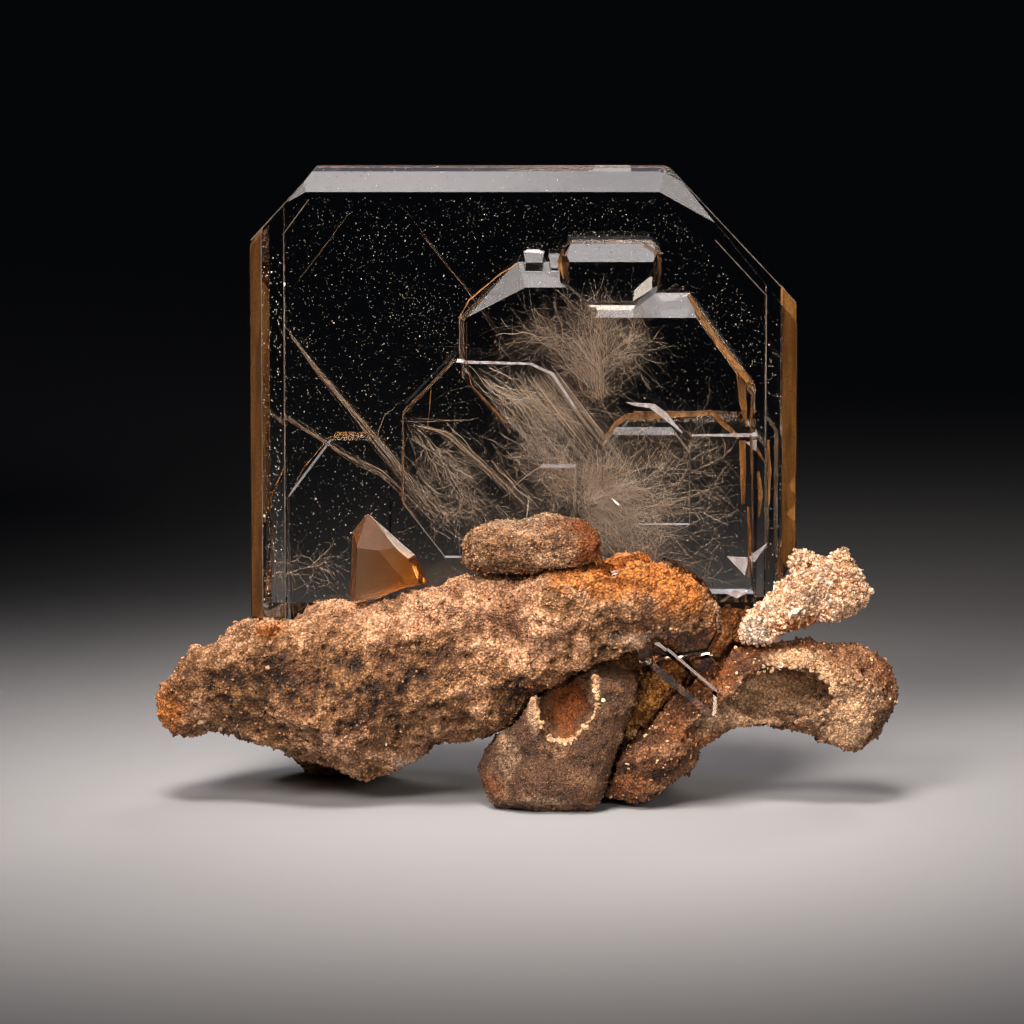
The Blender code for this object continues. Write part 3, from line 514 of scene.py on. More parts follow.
def coating(name, pit, low, high, crest, patch, stain, bloom_and_painted_light, grain_mm=0.26, bump_mm=0.2,
            patch_mm=4.0, gloss=0.85, sparkle=0.05):
    """Natural crust of fine crystals on barite, as it grew: matt and sandy, with sparkling points.

    The skin's own height runs the colour from the pits to the crests, as painted shade in the pits and
    painted highlight on the crests. Patches shift the hue, iron stain (partly painted shade) and pale
    blooms (partly painted light) lie where the mesh's attributes put them, each grain differs a little
    in lightness, the gaps between grains are darker as painted shade, and a few grains shine.
    """
    material, tree, shader = new_material(name)
    # painted shade in the pits and painted highlight on the crests, from the skin's height
    colour = ramp(tree, read_tone(tree), [(0.05, pit), (0.36, low), (0.62, high), (0.95, crest)])
    wide = between(tree, noise(tree, patch_mm, 4.0), 0.5, 0.66, 0.0, 0.85)
    colour = mixed(tree, wide, colour, linear(patch))
    broken = noise(tree, 0.35 * patch_mm, 4.0, rough=0.7)
    # the stain attribute is iron stain and partly painted shade; the second is pale blooms and partly
    # painted light
    for attribute, tint, low_edge, high_edge in (("stain", stain, 0.75, 1.15),
                                                 ("bloom_and_painted_light", bloom_and_painted_light, 0.7, 1.1)):
        share = maths(tree, "ADD", read_tone(tree, attribute), broken)
        colour = mixed(tree, between(tree, share, low_edge, high_edge), colour, linear(tint))
    grains = grain_cells(tree, grain_mm)
    each = add_node(tree, "ShaderNodeSeparateColor", {"Color": grains.outputs["Color"]})
    lightness = between(tree, each.outputs[0], 0.0, 1.0, 0.4, 1.25)
    # painted shade: the gaps between grains are darkened
    painted_gap_shade = between(tree, grains.outputs["Distance"], 0.35, 0.75, 1.0, 0.42)
    shade = maths(tree, "MULTIPLY", lightness, painted_gap_shade)
    grey = add_node(tree, "ShaderNodeCombineColor", {key: shade for key in ("Red", "Green", "Blue")})
    colour = mixed(tree, 1.0, colour, grey.outputs[0], "MULTIPLY")
    tree.links.new(colour, shader.inputs["Base Color"])
    shine = between(tree, each.outputs[1], 1.0 - sparkle - 0.01, 1.0 - sparkle, gloss, 0.22)
    tree.links.new(shine, shader.inputs["Roughness"])
    rounded = between(tree, grains.outputs["Distance"], 0.0, 0.8, 1.0, 0.0)
    clump = noise(tree, 2.2 * grain_mm, 3.0, rough=0.65)
    raise_bumps(tree, shader, maths(tree, "MULTIPLY_ADD", clump, 1.4, rounded), 1.0, bump_mm)
    return material


def toned_crystals(name, stops, roughness):
    """Tiny bright crystals, milky and smooth-faced, so they sparkle point by point.

    Each crystal's own tone picks its colour from the stops.
    """
    material, tree, shader = new_material(name)
    tree.links.new(ramp(tree, read_tone(tree), stops), shader.inputs["Base Color"])
    shader.inputs["Roughness"].default_value = roughness
    return material


def druse_crystals(name, dark, pale):
    """The small crystals of the crusts and of their broken rims."""
    return toned_crystals(name, [(0.0, dark), (0.8, pale)], 0.34)


# Settings that a user would change

def colour_setting(name, description, default):
    """A colour setting whose default is an sRGB hex value."""
    return FloatVectorProperty(name=name, description=description, default=linear(default)[:3],
                               subtype="COLOR", size=3, min=0.0, max=1.0)


class BariteLooks(PropertyGroup):
    """Sizes, amounts and colours of the specimen's finish"""
    fibre_width: FloatProperty(
        name="Fibre width", description="Thickness of the enclosed fibres",
        default=0.023 * MM, min=0.01 * MM, max=0.2 * MM, precision=6, unit="LENGTH")
    fibre_share: FloatProperty(
        name="Fibre share", description="How many of the enclosed fibres are made",
        default=0.36, min=0.05, max=1.0, subtype="FACTOR")
    speck_count: IntProperty(
        name="Specks", description="Fine specks on the clear plate's large faces",
        default=9000, min=0, max=20000)
    grain_size: FloatProperty(
        name="Grain size", description="Size of the loose grains, as a share of the real size",
        default=1.0, min=0.5, max=2.0, subtype="FACTOR")
    crystal_tint: colour_setting("Crystal tint", "Colour of the clear crystal", "FDFCFA")
    honey_colour: colour_setting("Honey colour", "Deeper colour of the honey stub", "B06A26")
    fibre_colour: colour_setting("Fibre colour", "Middle colour of the enclosed fibres", "DCC6B2")
    film_colour: colour_setting("Film colour", "Lighter colour of the amber films", "C08448")
    floor_colour: colour_setting("Floor colour", "Colour of the pale floor", "A0A3AB")
    light_power: FloatProperty(
        name="Light", description="Power of which each light has a share", default=0.10, min=0.0,
        unit="POWER")


def looks():
    """The scene's settings."""
    return bpy.context.scene.barite_looks


class BARITE_OT_clear_crystals(Operator):
    """Give the clear crystals and the honey-coloured stub their see-through finish"""
    bl_idname = "barite.clear_crystals"
    bl_label = "Clear crystals"

    def execute(self, context):
        clear = clear_barite_glass("clear_barite_crystal", looks().crystal_tint, "E6D8BC", 3.0, True)
        small = clear_barite_glass("small_barite_crystal", "FBF3EA", "C89468", 45.0)
        honey = honey_barite_glass("honey_barite_crystal")
        finish = {"main_plate_crystal": clear, "honey_stub_crystal": honey}
        for node in ("curved_clear_blade", "clear_prism", "gap_clear_plate", "upright_splinter",
                     "flat_splinter"):
            finish[node] = small
        for node, material in finish.items():
            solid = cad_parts[node]
            solid.data.materials.clear()
            solid.data.materials.append(material)
        return {"FINISHED"}


# The side faces' films lie FILM_INSET inside them, the rims' films are as wide as RIM_WIDTH_SHARE
# of what their rows say, and the bright facets are SHEET_THICK; all in mm
FILM_INSET = 0.07
RIM_WIDTH_SHARE = 0.75
SHEET_THICK = 0.06
# Thin amber films along the grown-over plates' rims: painted reflection of the amber matrix that
# their bevels mirror inside the crystal. Each row: outline of x and z, width (one, or one per
# stretch), depth, and depth difference between its edges
PAINTED_REFLECTION_FILMS = {
    "shield_right_rim": [
        ([(15.9, 50.6), (16.8, 49.0), (19.3, 45.3), (21.9, 42.1)], (0.5, 0.5, 0.75, 0.6), -5.3, 1.4),
        ([(21.1, 42.9), (21.3, 40.3), (21.7, 37.6)], (1.25, 0.95, 0.35), -5.5, 0.4),
        ([(21.8, 42.1), (22.3, 41.1), (22.1, 36.9)], (0.35, 0.4, 0.3), -5.1, 0.3),
        ([(21.3, 36.2), (21.4, 33.2), (21.4, 29.8)], (0.9, 0.8, 0.5), -4.9, 0.3),
        ([(22.1, 36.7), (22.2, 34.4), (22.1, 32.8)], (0.35, 0.25, 0.1), -5.2, 0.2),
        ([(21.9, 29.6), (22.1, 26.1), (22.0, 22.5)], (0.3, 0.5, 0.35), -4.6, 0.3),
        ([(22.9, 33.0), (23.2, 30.7), (23.0, 28.4)], (0.4, 0.6, 0.3), -4.4, 0.2),
    ],
    "back_plate_rim": [
        ([(7.8, 36.1), (9.0, 37.4), (10.0, 38.1)], (0.25, 0.6, 0.7), 3.2, 0.3),
        ([(10.0, 38.0), (14.3, 38.2), (18.6, 38.4)], (0.9, 0.7, 0.6), 3.2, 0.5),
        ([(18.5, 38.4), (19.8, 37.1), (21.2, 35.9)], (0.6, 0.7, 0.5), 3.2, 0.3),
        ([(10.5, 36.9), (12.5, 36.8)], (0.15, 0.1), 3.2, 0.1),
        ([(10.6, 36.4), (14.8, 36.4)], (0.25, 0.2), 3.2, 0.1),
    ],
    "shield_left_rim": [
        ([(-5.1, 41.6), (-6.7, 44.9), (-6.7, 48.3), (-5.7, 50.1), (-2.7, 52.6), (-0.9, 53.7)],
         (0.07, 0.09, 0.09, 0.09, 0.1, 0.07), -4.6, 0.4),
        ([(-6.0, 48.0), (-6.0, 44.2), (-5.5, 41.7), (-2.4, 38.3)], (0.08, 0.1, 0.2, 0.25), -5.6, 0.2),
    ],
    "low_plate_rim": [
        ([(-23.4, 19.1), (-23.8, 25.2), (-24.0, 29.7), (-22.3, 32.8), (-19.8, 35.8), (-17.8, 36.2),
          (-16.3, 36.3), (-14.8, 35.6), (-13.6, 34.1)],
         (0.07, 0.07, 0.07, 0.08, 0.12, 0.14, 0.12, 0.07), 3.2, 0.2),
    ],
    "west_plate_rim": [
        ([(-7.1, 44.4), (-9.6, 41.6), (-12.3, 38.9), (-11.6, 36.9), (-12.4, 35.1), (-12.4, 30.1),
          (-10.8, 28.1)], (0.08, 0.1, 0.12, 0.08, 0.12, 0.16, 0.12), -4.0, 0.3),
        ([(-5.9, 43.6), (-5.5, 41.6), (-3.9, 39.9), (-2.4, 38.1)], (0.1, 0.14, 0.22, 0.25), -4.0, 0.2),
        ([(-9.5, 41.3), (-9.9, 37.0)], (0.12, 0.08), -3.9, 0.1),
    ],
    "knob_rim": [
        ([(3.5, 55.2), (3.2, 54.0), (3.7, 52.4)], (0.4, 0.7, 0.5), -6.4, 0.8),
        ([(11.5, 55.7), (12.5, 54.7), (13.0, 53.0), (12.5, 51.6)], (0.25, 0.4, 0.5, 0.3), -6.2, 0.6),
    ],
    "east_edges": [
        ([(23.9, 36.1), (24.1, 32.9), (24.0, 29.7)], (0.3, 0.4, 0.2), -4.2, 0.2),
        ([(22.6, 35.5), (23.4, 34.2), (23.6, 33.8)], (0.5, 0.35, 0.2), -4.2, 0.2),
        ([(24.4, 25.4), (24.5, 23.6), (24.4, 21.7)], (0.2, 0.5, 0.4), 0.4, 0.4),
    ],
    "top_edge": [
        ([(-20.8, 62.9), (14.0, 62.9)], (0.14, 0.14), -0.35, 0.1),
    ],
}
# Grey lines along the plate's edges, painted sheen where its bevelled edges catch the light: outline
# of x and z, width, depth
PAINTED_EDGE_SHEEN = [
    ([(-27.5, 55.6), (-20.9, 62.8)], 0.1, MIDDLE),
    ([(-24.2, 56.4), (-21.6, 59.9)], 0.08, FRONT),
    ([(-26.4, 17.6), (-26.4, 56.6)], 0.07, FRONT + 1.8),
    ([(-24.1, 17.6), (-24.1, 56.4)], 0.07, FRONT),
    ([(14.2, 62.8), (26.8, 49.4)], 0.1, MIDDLE),
    ([(18.6, 55.9), (23.7, 50.4)], 0.09, FRONT),
    ([(23.7, 23.0), (23.7, 50.4)], 0.09, FRONT),
    ([(25.4, 23.0), (25.4, 50.2)], 0.07, FRONT + 1.4),
]
# Pale sheets over small facets and ledges, painted glints in place of the lamp's reflection in them:
# outlines of x and z, which lie BRIGHT_PROUD before the front face
BRIGHT_PROUD = 1.2
PAINTED_GLINT_FACETS = [
    [(19.8, 24.6), (22.1, 24.5), (21.6, 22.7)],
    [(22.0, 24.5), (23.9, 25.9), (22.6, 23.9)],
    [(19.2, 21.0), (20.7, 21.2), (22.2, 21.0), (20.9, 20.3)],
    [(21.6, 36.0), (22.8, 36.2), (22.7, 35.0)],
    [(-0.3, 54.8), (0.0, 55.05), (1.2, 55.05), (1.7, 54.7)],
    [(9.7, 40.0), (12.6, 39.8), (12.1, 39.4), (10.6, 39.6)],
    [(12.6, 39.8), (13.7, 39.0), (13.3, 38.5), (12.1, 39.4)],
    [(13.7, 39.0), (14.6, 37.9), (14.3, 37.7), (13.3, 38.5)],
    [(14.6, 37.9), (15.4, 37.0), (15.3, 36.9), (14.3, 37.7)],
    [(16.3, 36.75), (22.8, 36.9), (22.8, 36.5), (16.3, 36.6)],
    [(-6.9, 44.2), (-5.6, 44.1), (-5.9, 43.8), (-7.0, 43.9)],
    [(-5.6, 44.1), (0.4, 43.9), (0.2, 43.7), (-5.9, 43.8)],
    [(0.4, 43.9), (2.6, 42.9), (2.4, 42.7), (0.2, 43.7)],
    [(2.6, 42.9), (4.9, 39.4), (4.7, 39.3), (2.4, 42.7)],
]


def facet_sheet(outline, depth):
    """Thin prism over a convex outline of x and z, with its faces outwards either way round."""
    outline = np.asarray(outline, float)
    count = len(outline)
    y = np.full(count, depth - 0.5 * SHEET_THICK)
    front = np.column_stack([outline[:, 0], y, outline[:, 1]])
    fan = np.array([[0, i, i + 1] for i in range(1, count - 1)])
    back = front + np.array([0.0, SHEET_THICK, 0.0])
    points, faces = thin_solid(front, back, fan, np.arange(count))
    first_leg, second_leg = outline[1] - outline[0], outline[2] - outline[0]
    anticlockwise = first_leg[0] * second_leg[1] - first_leg[1] * second_leg[0] > 0
    return points, faces[:, ::-1] if anticlockwise else faces


def side_film(sign, edge, stain, bevel, bottom, top, rise, way):
    """Film just inside a stained side face: a grid from the girdle to the bevel, top to bottom.

    u runs inwards over the face, way times its depth, and v upwards; the top rises with u.
    """
    u, v = np.meshgrid(np.linspace(0.04, 0.98, 5), np.linspace(0.0, 1.0, 60), indexing="ij")
    x = edge - sign * (u * stain + FILM_INSET)
    y = MIDDLE + way * u * (PLATE_HALF - bevel * SIDE_SLOPE)
    z = bottom + v * (top - bottom) + v * u * stain * rise
    outer = np.stack([x, y, z], axis=-1).reshape(-1, 3)
    inner = outer + np.array([-sign * FILM_THICK, 0.0, 0.0])
    index = np.arange(u.size).reshape(u.shape)
    a, b, c, d = index[:-1, :-1], index[1:, :-1], index[1:, 1:], index[:-1, 1:]
    quads = np.stack([np.stack([c, b, a], -1), np.stack([d, c, a], -1)]).reshape(-1, 3)
    rim = np.concatenate([index[:, 0], index[-1, 1:], index[-2::-1, -1], index[0, -2:0:-1]])
    return thin_solid(outer, inner, quads, rim)


class BARITE_OT_amber_films(Operator):
    """Stain the side faces amber, and add painted reflection on the plates' rims, painted glints and
    painted edge sheen
    """
    bl_idname = "barite.amber_films"
    bl_label = "Amber films"

    def execute(self, context):
        # amber films on the plates' rims: painted reflection of the amber matrix
        amber = face_film("painted_matrix_reflection_film", looks().film_colour, "6A4422")
        left = face_film("side_face_film_left", "96662F", "64401E", 0.8)
        # pale sheets: painted glints where the facets would mirror a lamp
        painted_glint = face_film("painted_glint_sheet", "F2EEF6", "C8C0CC")
        add_parts("amber_rims", [
            ribbon(outline, RIM_WIDTH_SHARE * np.array(width), depth, tilt, 0.04, number + 3)
            for rows in PAINTED_REFLECTION_FILMS.values() for number, (outline, width, depth, tilt) in enumerate(rows)
        ], amber)
        right = face_film("side_face_film_right", "C08844", "8C5C26", 0.8)
        for name, side, film in (("left", LEFT, left), ("right", RIGHT, right)):
            add_parts("side_face_stain_" + name, [side_film(*side, way) for way in (-1, 1)], film)
        # grey lines: painted sheen along the plate's edges
        painted_edge_sheen = face_film("painted_edge_sheen_film", "6A625A", "38332E")
        add_parts("painted_edge_sheen_lines", [ribbon(outline, width, depth, 0.02, 0.01, number + 4)
                                 for number, (outline, width, depth) in enumerate(PAINTED_EDGE_SHEEN)], painted_edge_sheen)
        sheets = [facet_sheet(outline, FRONT - BRIGHT_PROUD) for outline in PAINTED_GLINT_FACETS]
        add_parts("painted_glint_facets", sheets, painted_glint)
        return {"FINISHED"}


# Sprays of enclosed fibres. Each row: root x, z and depth, heading in degrees from +x and its
# spread, mean length, bend in degrees over the length, count, scatter of the roots along x and
# z, and how many barbs a fibre carries
SPRAYS = {
    "fibre_plume_upper": [
        (7.3, 41.0, -3.0, 91, 7, 14.0, 0, 120, 0.35, 1.0, 9),
        (7.3, 43.0, -3.2, 112, 13, 7.0, 22, 65, 0.5, 1.6, 9),
        (7.4, 43.0, -3.2, 68, 14, 6.5, -22, 65, 0.5, 1.6, 9),
        (6.6, 41.8, -2.6, 138, 9, 10.5, -12, 110, 0.7, 0.9, 7),
        (4.0, 45.6, -3.4, 152, 14, 6.0, 14, 60, 1.8, 1.4, 9),
        (9.4, 44.4, -3.0, 36, 20, 5.0, 40, 70, 0.9, 1.2, 9),
        (7.3, 40.3, -3.0, 88, 34, 1.8, 0, 70, 0.7, 0.5, 6),
        (7.4, 46.6, -3.4, 90, 60, 2.6, 0, 60, 1.2, 1.8, 6),
    ],
    "fibre_cloud_east": [
        (6.0, 30.0, -2.2, 0, 10, 14.5, 0, 120, 0.7, 0.9, 9),
        (6.0, 30.0, -2.2, 24, 11, 12.0, -6, 120, 0.7, 0.9, 9),
        (6.0, 29.6, -2.2, -24, 11, 11.5, 6, 120, 0.7, 0.9, 9),
        (5.6, 30.8, -2.4, 50, 12, 8.5, -10, 90, 0.9, 0.9, 9),
        (5.6, 29.2, -2.4, -56, 14, 7.5, 10, 80, 0.9, 0.9, 9),
        (9.0, 29.8, -2.6, 0, 60, 4.6, 20, 130, 3.0, 2.6, 9),
        (13.0, 29.6, -2.6, 0, 50, 4.4, 20, 110, 3.2, 3.6, 9),
        (17.4, 30.0, -2.8, 0, 12, 5.0, 6, 60, 2.0, 4.2, 8),
        (11.0, 30.6, -2.9, 0, 9, 11.0, 0, 90, 2.6, 3.4, 4),
        (14.0, 33.6, -2.9, 24, 16, 5.5, 12, 60, 2.6, 1.6, 7),
        (6.4, 26.5, -2.6, -84, 20, 4.2, 0, 60, 1.4, 0.9, 7),
    ],
    "fibre_wisps_middle": [
        (-4.6, 43.0, -2.4, -46, 6, 16.0, 4, 100, 1.1, 0.8, 3),
        (-1.5, 42.4, -2.2, -48, 6, 13.5, 0, 90, 1.8, 0.8, 3),
        (-2.6, 40.0, -2.6, -36, 12, 9.0, 20, 90, 1.5, 1.5, 8),
        (0.6, 36.6, -2.6, -45, 26, 5.6, 16, 150, 2.4, 2.0, 10),
        (3.2, 33.2, -2.8, -42, 34, 4.8, 16, 150, 2.0, 2.0, 10),
        (5.4, 30.8, -2.6, 137, 22, 7.5, -10, 120, 0.9, 0.9, 8),
    ],
    "fibre_wisps_west": [
        (-11.0, 36.8, -1.8, -50, 7, 12.5, 6, 60, 0.8, 0.7, 3),
        (-11.6, 33.4, -1.6, -56, 7, 9.5, 4, 45, 0.6, 1.2, 3),
        (-8.5, 34.0, -1.8, -40, 14, 7.0, 10, 80, 1.5, 1.5, 5),
        (-9.4, 34.6, -2.2, -60, 80, 2.2, 40, 50, 1.6, 2.0, 5),
        (-6.0, 30.0, -2.0, -42, 14, 6.0, 10, 80, 1.8, 1.8, 6),
        (-23.0, 22.4, -1.0, 30, 24, 4.6, 20, 40, 1.6, 1.2, 4),
        (-19.0, 22.0, -0.6, 150, 20, 4.6, 10, 36, 1.4, 1.0, 4),
    ],
}
# Bundles of long threads along a line through the plate: points of x and z, depth, widths of the
# bundle at its two ends, and count
BUNDLES = [
    ([(-24.1, 47.2), (-21.1, 42.9), (-18.2, 39.5), (-15.2, 35.7), (-12.7, 32.6), (-10.2, 29.1),
      (-7.7, 25.1)], -0.6, 0.04, 0.5, 26),
    ([(-27.0, 40.2), (-24.2, 38.2), (-21.2, 36.2), (-18.2, 34.2), (-14.7, 32.5), (-11.7, 29.6),
      (-8.7, 27.1)], 0.4, 0.1, 0.3, 10),
    ([(-12.1, 58.9), (-10.2, 56.2), (-8.2, 53.5), (-5.2, 49.9), (-2.9, 46.7), (-0.7, 42.9)],
     -1.2, 0.04, 0.14, 5),
    ([(-17.4, 58.9), (-19.6, 55.7), (-21.6, 53.2), (-23.4, 50.9)], -0.4, 0.04, 0.06, 4),
    ([(11.2, 42.5), (12.4, 40.8)], -2.6, 0.04, 0.05, 5),
    ([(-15.1, 36.0), (-14.2, 38.2), (-12.7, 39.5)], -0.4, 0.03, 0.05, 3),
    ([(-14.7, 37.9), (-2.4, 37.9)], -1.4, 0.05, 0.05, 4),
    ([(-12.0, 37.8), (-8.0, 36.6), (-4.5, 33.6), (-1.0, 30.2), (2.0, 27.4)], -2.2, 0.15, 0.25, 22),
    ([(-3.6, 34.0), (-1.0, 31.2), (1.5, 29.0)], -2.4, 0.1, 0.3, 12),
]
# Straight needles from about one place to another, as x and z: their count, how far their roots
# stray, their depth and how far it strays, and the least and most of the way that they run
NEEDLE_ROOT, NEEDLE_END = np.array([1.6, 42.4]), np.array([8.4, 33.4])
NEEDLE_COUNT = 70
NEEDLE_STRAY = (1.6, 0.6)
NEEDLE_DEPTH, NEEDLE_DEPTH_STRAY = -2.6, 0.8
NEEDLE_RUN = (0.4, 1.15)
# Thicknesses in mm of the threads and needles, and of barbs and finer barbs as shares of a fibre's
THREAD_THICK, NEEDLE_THICK = 0.026, 0.032
BARB_THICK, FINER_THICK = 0.75, 0.55
FINER_PER_BARB = 0.8
# How much paler than the mean each kind is, and how the fibres vary: tones as a beta distribution's
# two shapes, widths, and the stretch of a half sine that thins them to their ends
STEM_PALE, BARB_PALE, FINER_PALE, THREAD_PALE, NEEDLE_PALE = 0.25, 0.1, 0.0, -0.1, 0.2
TONE_SHAPES = (1.6, 2.2)
WIDTH_VARIES = 0.45
TAPER = (0.15, 0.92)

# How the fibres of a spray differ. They stand in tufts; a tuft and a fibre each lean by a share of
# the spread, bend by more degrees than the row says, and have a length and a place of their own
TUFT_SIZE = 9
TUFT_LEAN, FIBRE_LEAN = 0.95, 0.4
BEND_VARIES, TUFT_BEND, FIBRE_BEND = 0.7, 16, 10
SWING, SWING_WAVES = 0.26, (0.6, 1.8)
TUFT_LENGTH, FIBRE_LENGTH = (0.45, 1.2), (0.35, 1.0)
FIBRE_DRIFT = 0.14
TUFT_APART, FIBRE_APART, DEPTH_SCATTER = 0.7, 0.6, 0.9
# Where a barb starts on its fibre, its slant in degrees, its curl in radians, its length in mm as
# a gamma distribution's shape and scale, and its drift in depth
BARB_START = (0.12, 0.97)
BARB_SLANT = (20, 65)
BARB_CURL, CURL_VARIES = 0.1, 0.55
BARB_LENGTH = (1.5, 0.9)
BARB_DRIFT = 0.35
# How far fibres keep from the plate's left, right and top, how far before the front face they may
# lie, and where: over x from, x to and z below, where plates and a thick little crystal grew
KEEP_LEFT, KEEP_RIGHT, KEEP_TOP = 1.6, 2.0, 2.0
GROWN_DEPTH = 2.2
GROWN = ((-4.5, 20.6, 49.5), (4.4, 11.6, 54.6))
# How far they keep before the back face, and behind the front one elsewhere
KEEP_BACK, KEEP_FRONT = 0.4, 0.25
# Where a bundle's threads begin and end as shares of its line, how far they lie across it as a
# share of its width along x and along z, their waves and their depth
THREAD_FIRST, THREAD_LAST = (0.0, 0.25), (0.7, 1.0)
THREAD_ACROSS = 0.7
THREAD_WAVE, THREAD_WAVES = 0.12, (1, 3)
THREAD_DEPTH = 0.4


def walked(root, angle, drift, reach):
    """Paths from their roots, as (path, step, xyz): each step adds reach times its direction.

    The direction is cosine and sine of the step's angle over x and z, and the drift along y.
    """
    drift = drift * np.ones_like(angle)
    move = np.stack([np.cos(angle), drift, np.sin(angle)], axis=-1) * reach[:, None, None]
    return root[:, None] + np.cumsum(move, axis=1) - move[:, :1]


def fibre_lines(root_x, root_z, depth, heading, spread, length, bend, count, scatter_x, scatter_z,
                rng, steps=7):
    """Centre lines of one spray, as (fibre, step, xyz).

    Each fibre starts near the root and runs along its tuft's heading; the heading turns evenly by
    a bend and swings by a sine of its own, and the fibre drifts a little in depth.
    """
    t = np.linspace(0.0, 1.0, steps)[None]
    tufts = max(3, count // TUFT_SIZE)
    tuft = rng.integers(0, tufts, count)
    lean = TUFT_LEAN * rng.normal(size=tufts)[tuft] + FIBRE_LEAN * rng.normal(size=count)
    start = np.radians(heading + spread * lean)[:, None]
    sweep = rng.normal(1.0, BEND_VARIES, tufts)[tuft] * bend + TUFT_BEND * rng.normal(size=tufts)[tuft]
    turn = np.radians(sweep + FIBRE_BEND * rng.normal(size=count))[:, None]
    swing = SWING * np.sin(2 * math.pi * (rng.uniform(*SWING_WAVES, (count, 1)) * t
                                          + rng.uniform(0, 1, (count, 1))))
    share = rng.uniform(*TUFT_LENGTH, tufts)[tuft] * rng.uniform(*FIBRE_LENGTH, count)
    drift = FIBRE_DRIFT * rng.normal(size=(count, 1))
    apart = (TUFT_APART * rng.normal(size=(tufts, 3))[tuft]
             + FIBRE_APART * rng.normal(size=(count, 3)))
    root = np.array([root_x, depth, root_z]) + apart * (scatter_x, DEPTH_SCATTER, scatter_z)
    return walked(root, start + turn * t + swing, drift, length * share / (steps - 1))


def barb_lines(stems, per_stem, rng, steps=4):
    """Short barbs on the fibres, as (barb, step, xyz): each leaves its fibre at a slant.

    A barb starts at a random share of its fibre, turns off to one side or the other, and curls
    further as it runs.
    """
    count = int(len(stems) * per_stem)
    last = stems.shape[1] - 1
    chosen = rng.integers(0, len(stems), count)
    share = rng.uniform(*BARB_START, count) * last
    before = np.floor(share).astype(int)
    after = np.minimum(before + 1, last)
    part = (share - before)[:, None]
    root = stems[chosen, before] * (1 - part) + stems[chosen, after] * part
    ahead = stems[chosen, after] - stems[chosen, np.maximum(after - 1, 0)]
    sign = np.where(rng.uniform(0, 1, count) < 0.5, -1.0, 1.0)
    slant = np.radians(rng.uniform(*BARB_SLANT, count))
    heading = np.arctan2(ahead[:, 2], ahead[:, 0]) + sign * slant
    curl = sign * rng.normal(BARB_CURL, CURL_VARIES, count)
    angle = heading[:, None] + curl[:, None] * np.linspace(0.0, 1.0, steps)[None]
    reach = rng.gamma(*BARB_LENGTH, count) / (steps - 1)
    return walked(root, angle, BARB_DRIFT * rng.normal(size=(count, 1)), reach)


def kept_inside(path):
    """Fibres held within the crystal: those in front of the large face only where it grew on."""
    low = np.array([PLATE_LOW[0] + KEEP_LEFT, FRONT - GROWN_DEPTH, PLATE_LOW[2]])
    high = np.array([PLATE_HIGH[0] - KEEP_RIGHT, BACK - KEEP_BACK, PLATE_HIGH[2] - KEEP_TOP])
    path = np.clip(path, low, high)
    x, y, z = path[..., 0], path[..., 1], path[..., 2]
    grown = np.any([(x > low_x) & (x < high_x) & (z < top) for low_x, high_x, top in GROWN], axis=0)
    path[..., 1] = np.where(grown, y, np.maximum(y, FRONT + KEEP_FRONT))
    return path


def bundle_lines(line, depth, start_width, end_width, count, rng, steps=16):
    """Threads that follow a bent line, fanning from its start width to its end width.

    Each keeps its own place across the bundle and adds a sine wave of its own.
    """
    line = np.asarray(line, float)
    first = rng.uniform(*THREAD_FIRST, (count, 1))
    last = rng.uniform(*THREAD_LAST, (count, 1))
    share = first + (last - first) * np.linspace(0, 1, steps)[None]
    spot = points_along(line, share * reach_along(line)[-1])
    width = start_width + (end_width - start_width) * share
    off = THREAD_ACROSS * (rng.normal(size=(count, 1)) * width)
    wave = THREAD_WAVE * np.sin(2 * math.pi * (share * rng.uniform(*THREAD_WAVES, (count, 1))
                                               + rng.uniform(0, 1, (count, 1))))
    y = depth + THREAD_DEPTH * rng.normal(size=(count, 1)) + THREAD_DEPTH * share
    return np.stack([spot[..., 0] + off + wave * width, y, spot[..., 1] + off + wave], axis=-1)


def needle_lines(rng):
    """Straight lines from near the root, each a share of the way to the end; four steps each."""
    t = np.linspace(0, 1, 4)[None, :, None]
    start = NEEDLE_ROOT + rng.normal(size=(NEEDLE_COUNT, 2)) * NEEDLE_STRAY
    run = (NEEDLE_END - NEEDLE_ROOT) * rng.uniform(*NEEDLE_RUN, (NEEDLE_COUNT, 1))
    flat = start[:, None] + run[:, None] * t
    y = NEEDLE_DEPTH + NEEDLE_DEPTH_STRAY * rng.normal(size=(NEEDLE_COUNT, 1)) + 0 * flat[..., 0]
    return np.stack([flat[..., 0], y, flat[..., 1]], axis=-1)


def fibre_tubes(path, thick, pale, rng):
    """Tubes along the fibres, thinning to each end as the root of a sine, and each fibre's tone."""
    count, steps, _ = path.shape
    profile = np.sin(np.linspace(*TAPER, steps) * math.pi) ** 0.5
    widths = 0.5 * thick * np.exp(WIDTH_VARIES * rng.normal(size=(count, 1))) * profile[None]
    tone = np.clip(rng.beta(*TONE_SHAPES, count) + pale, 0, 1)
    return tubes(path, widths), np.repeat(tone, steps * 3)


def toned_piece(name, groups, material):
    """One piece from several groups of a (points, faces) part and its points' tones."""
    piece = add_parts(name, [part for part, _ in groups], material)
    set_tone(piece.data, np.concatenate([tone for _, tone in groups]))


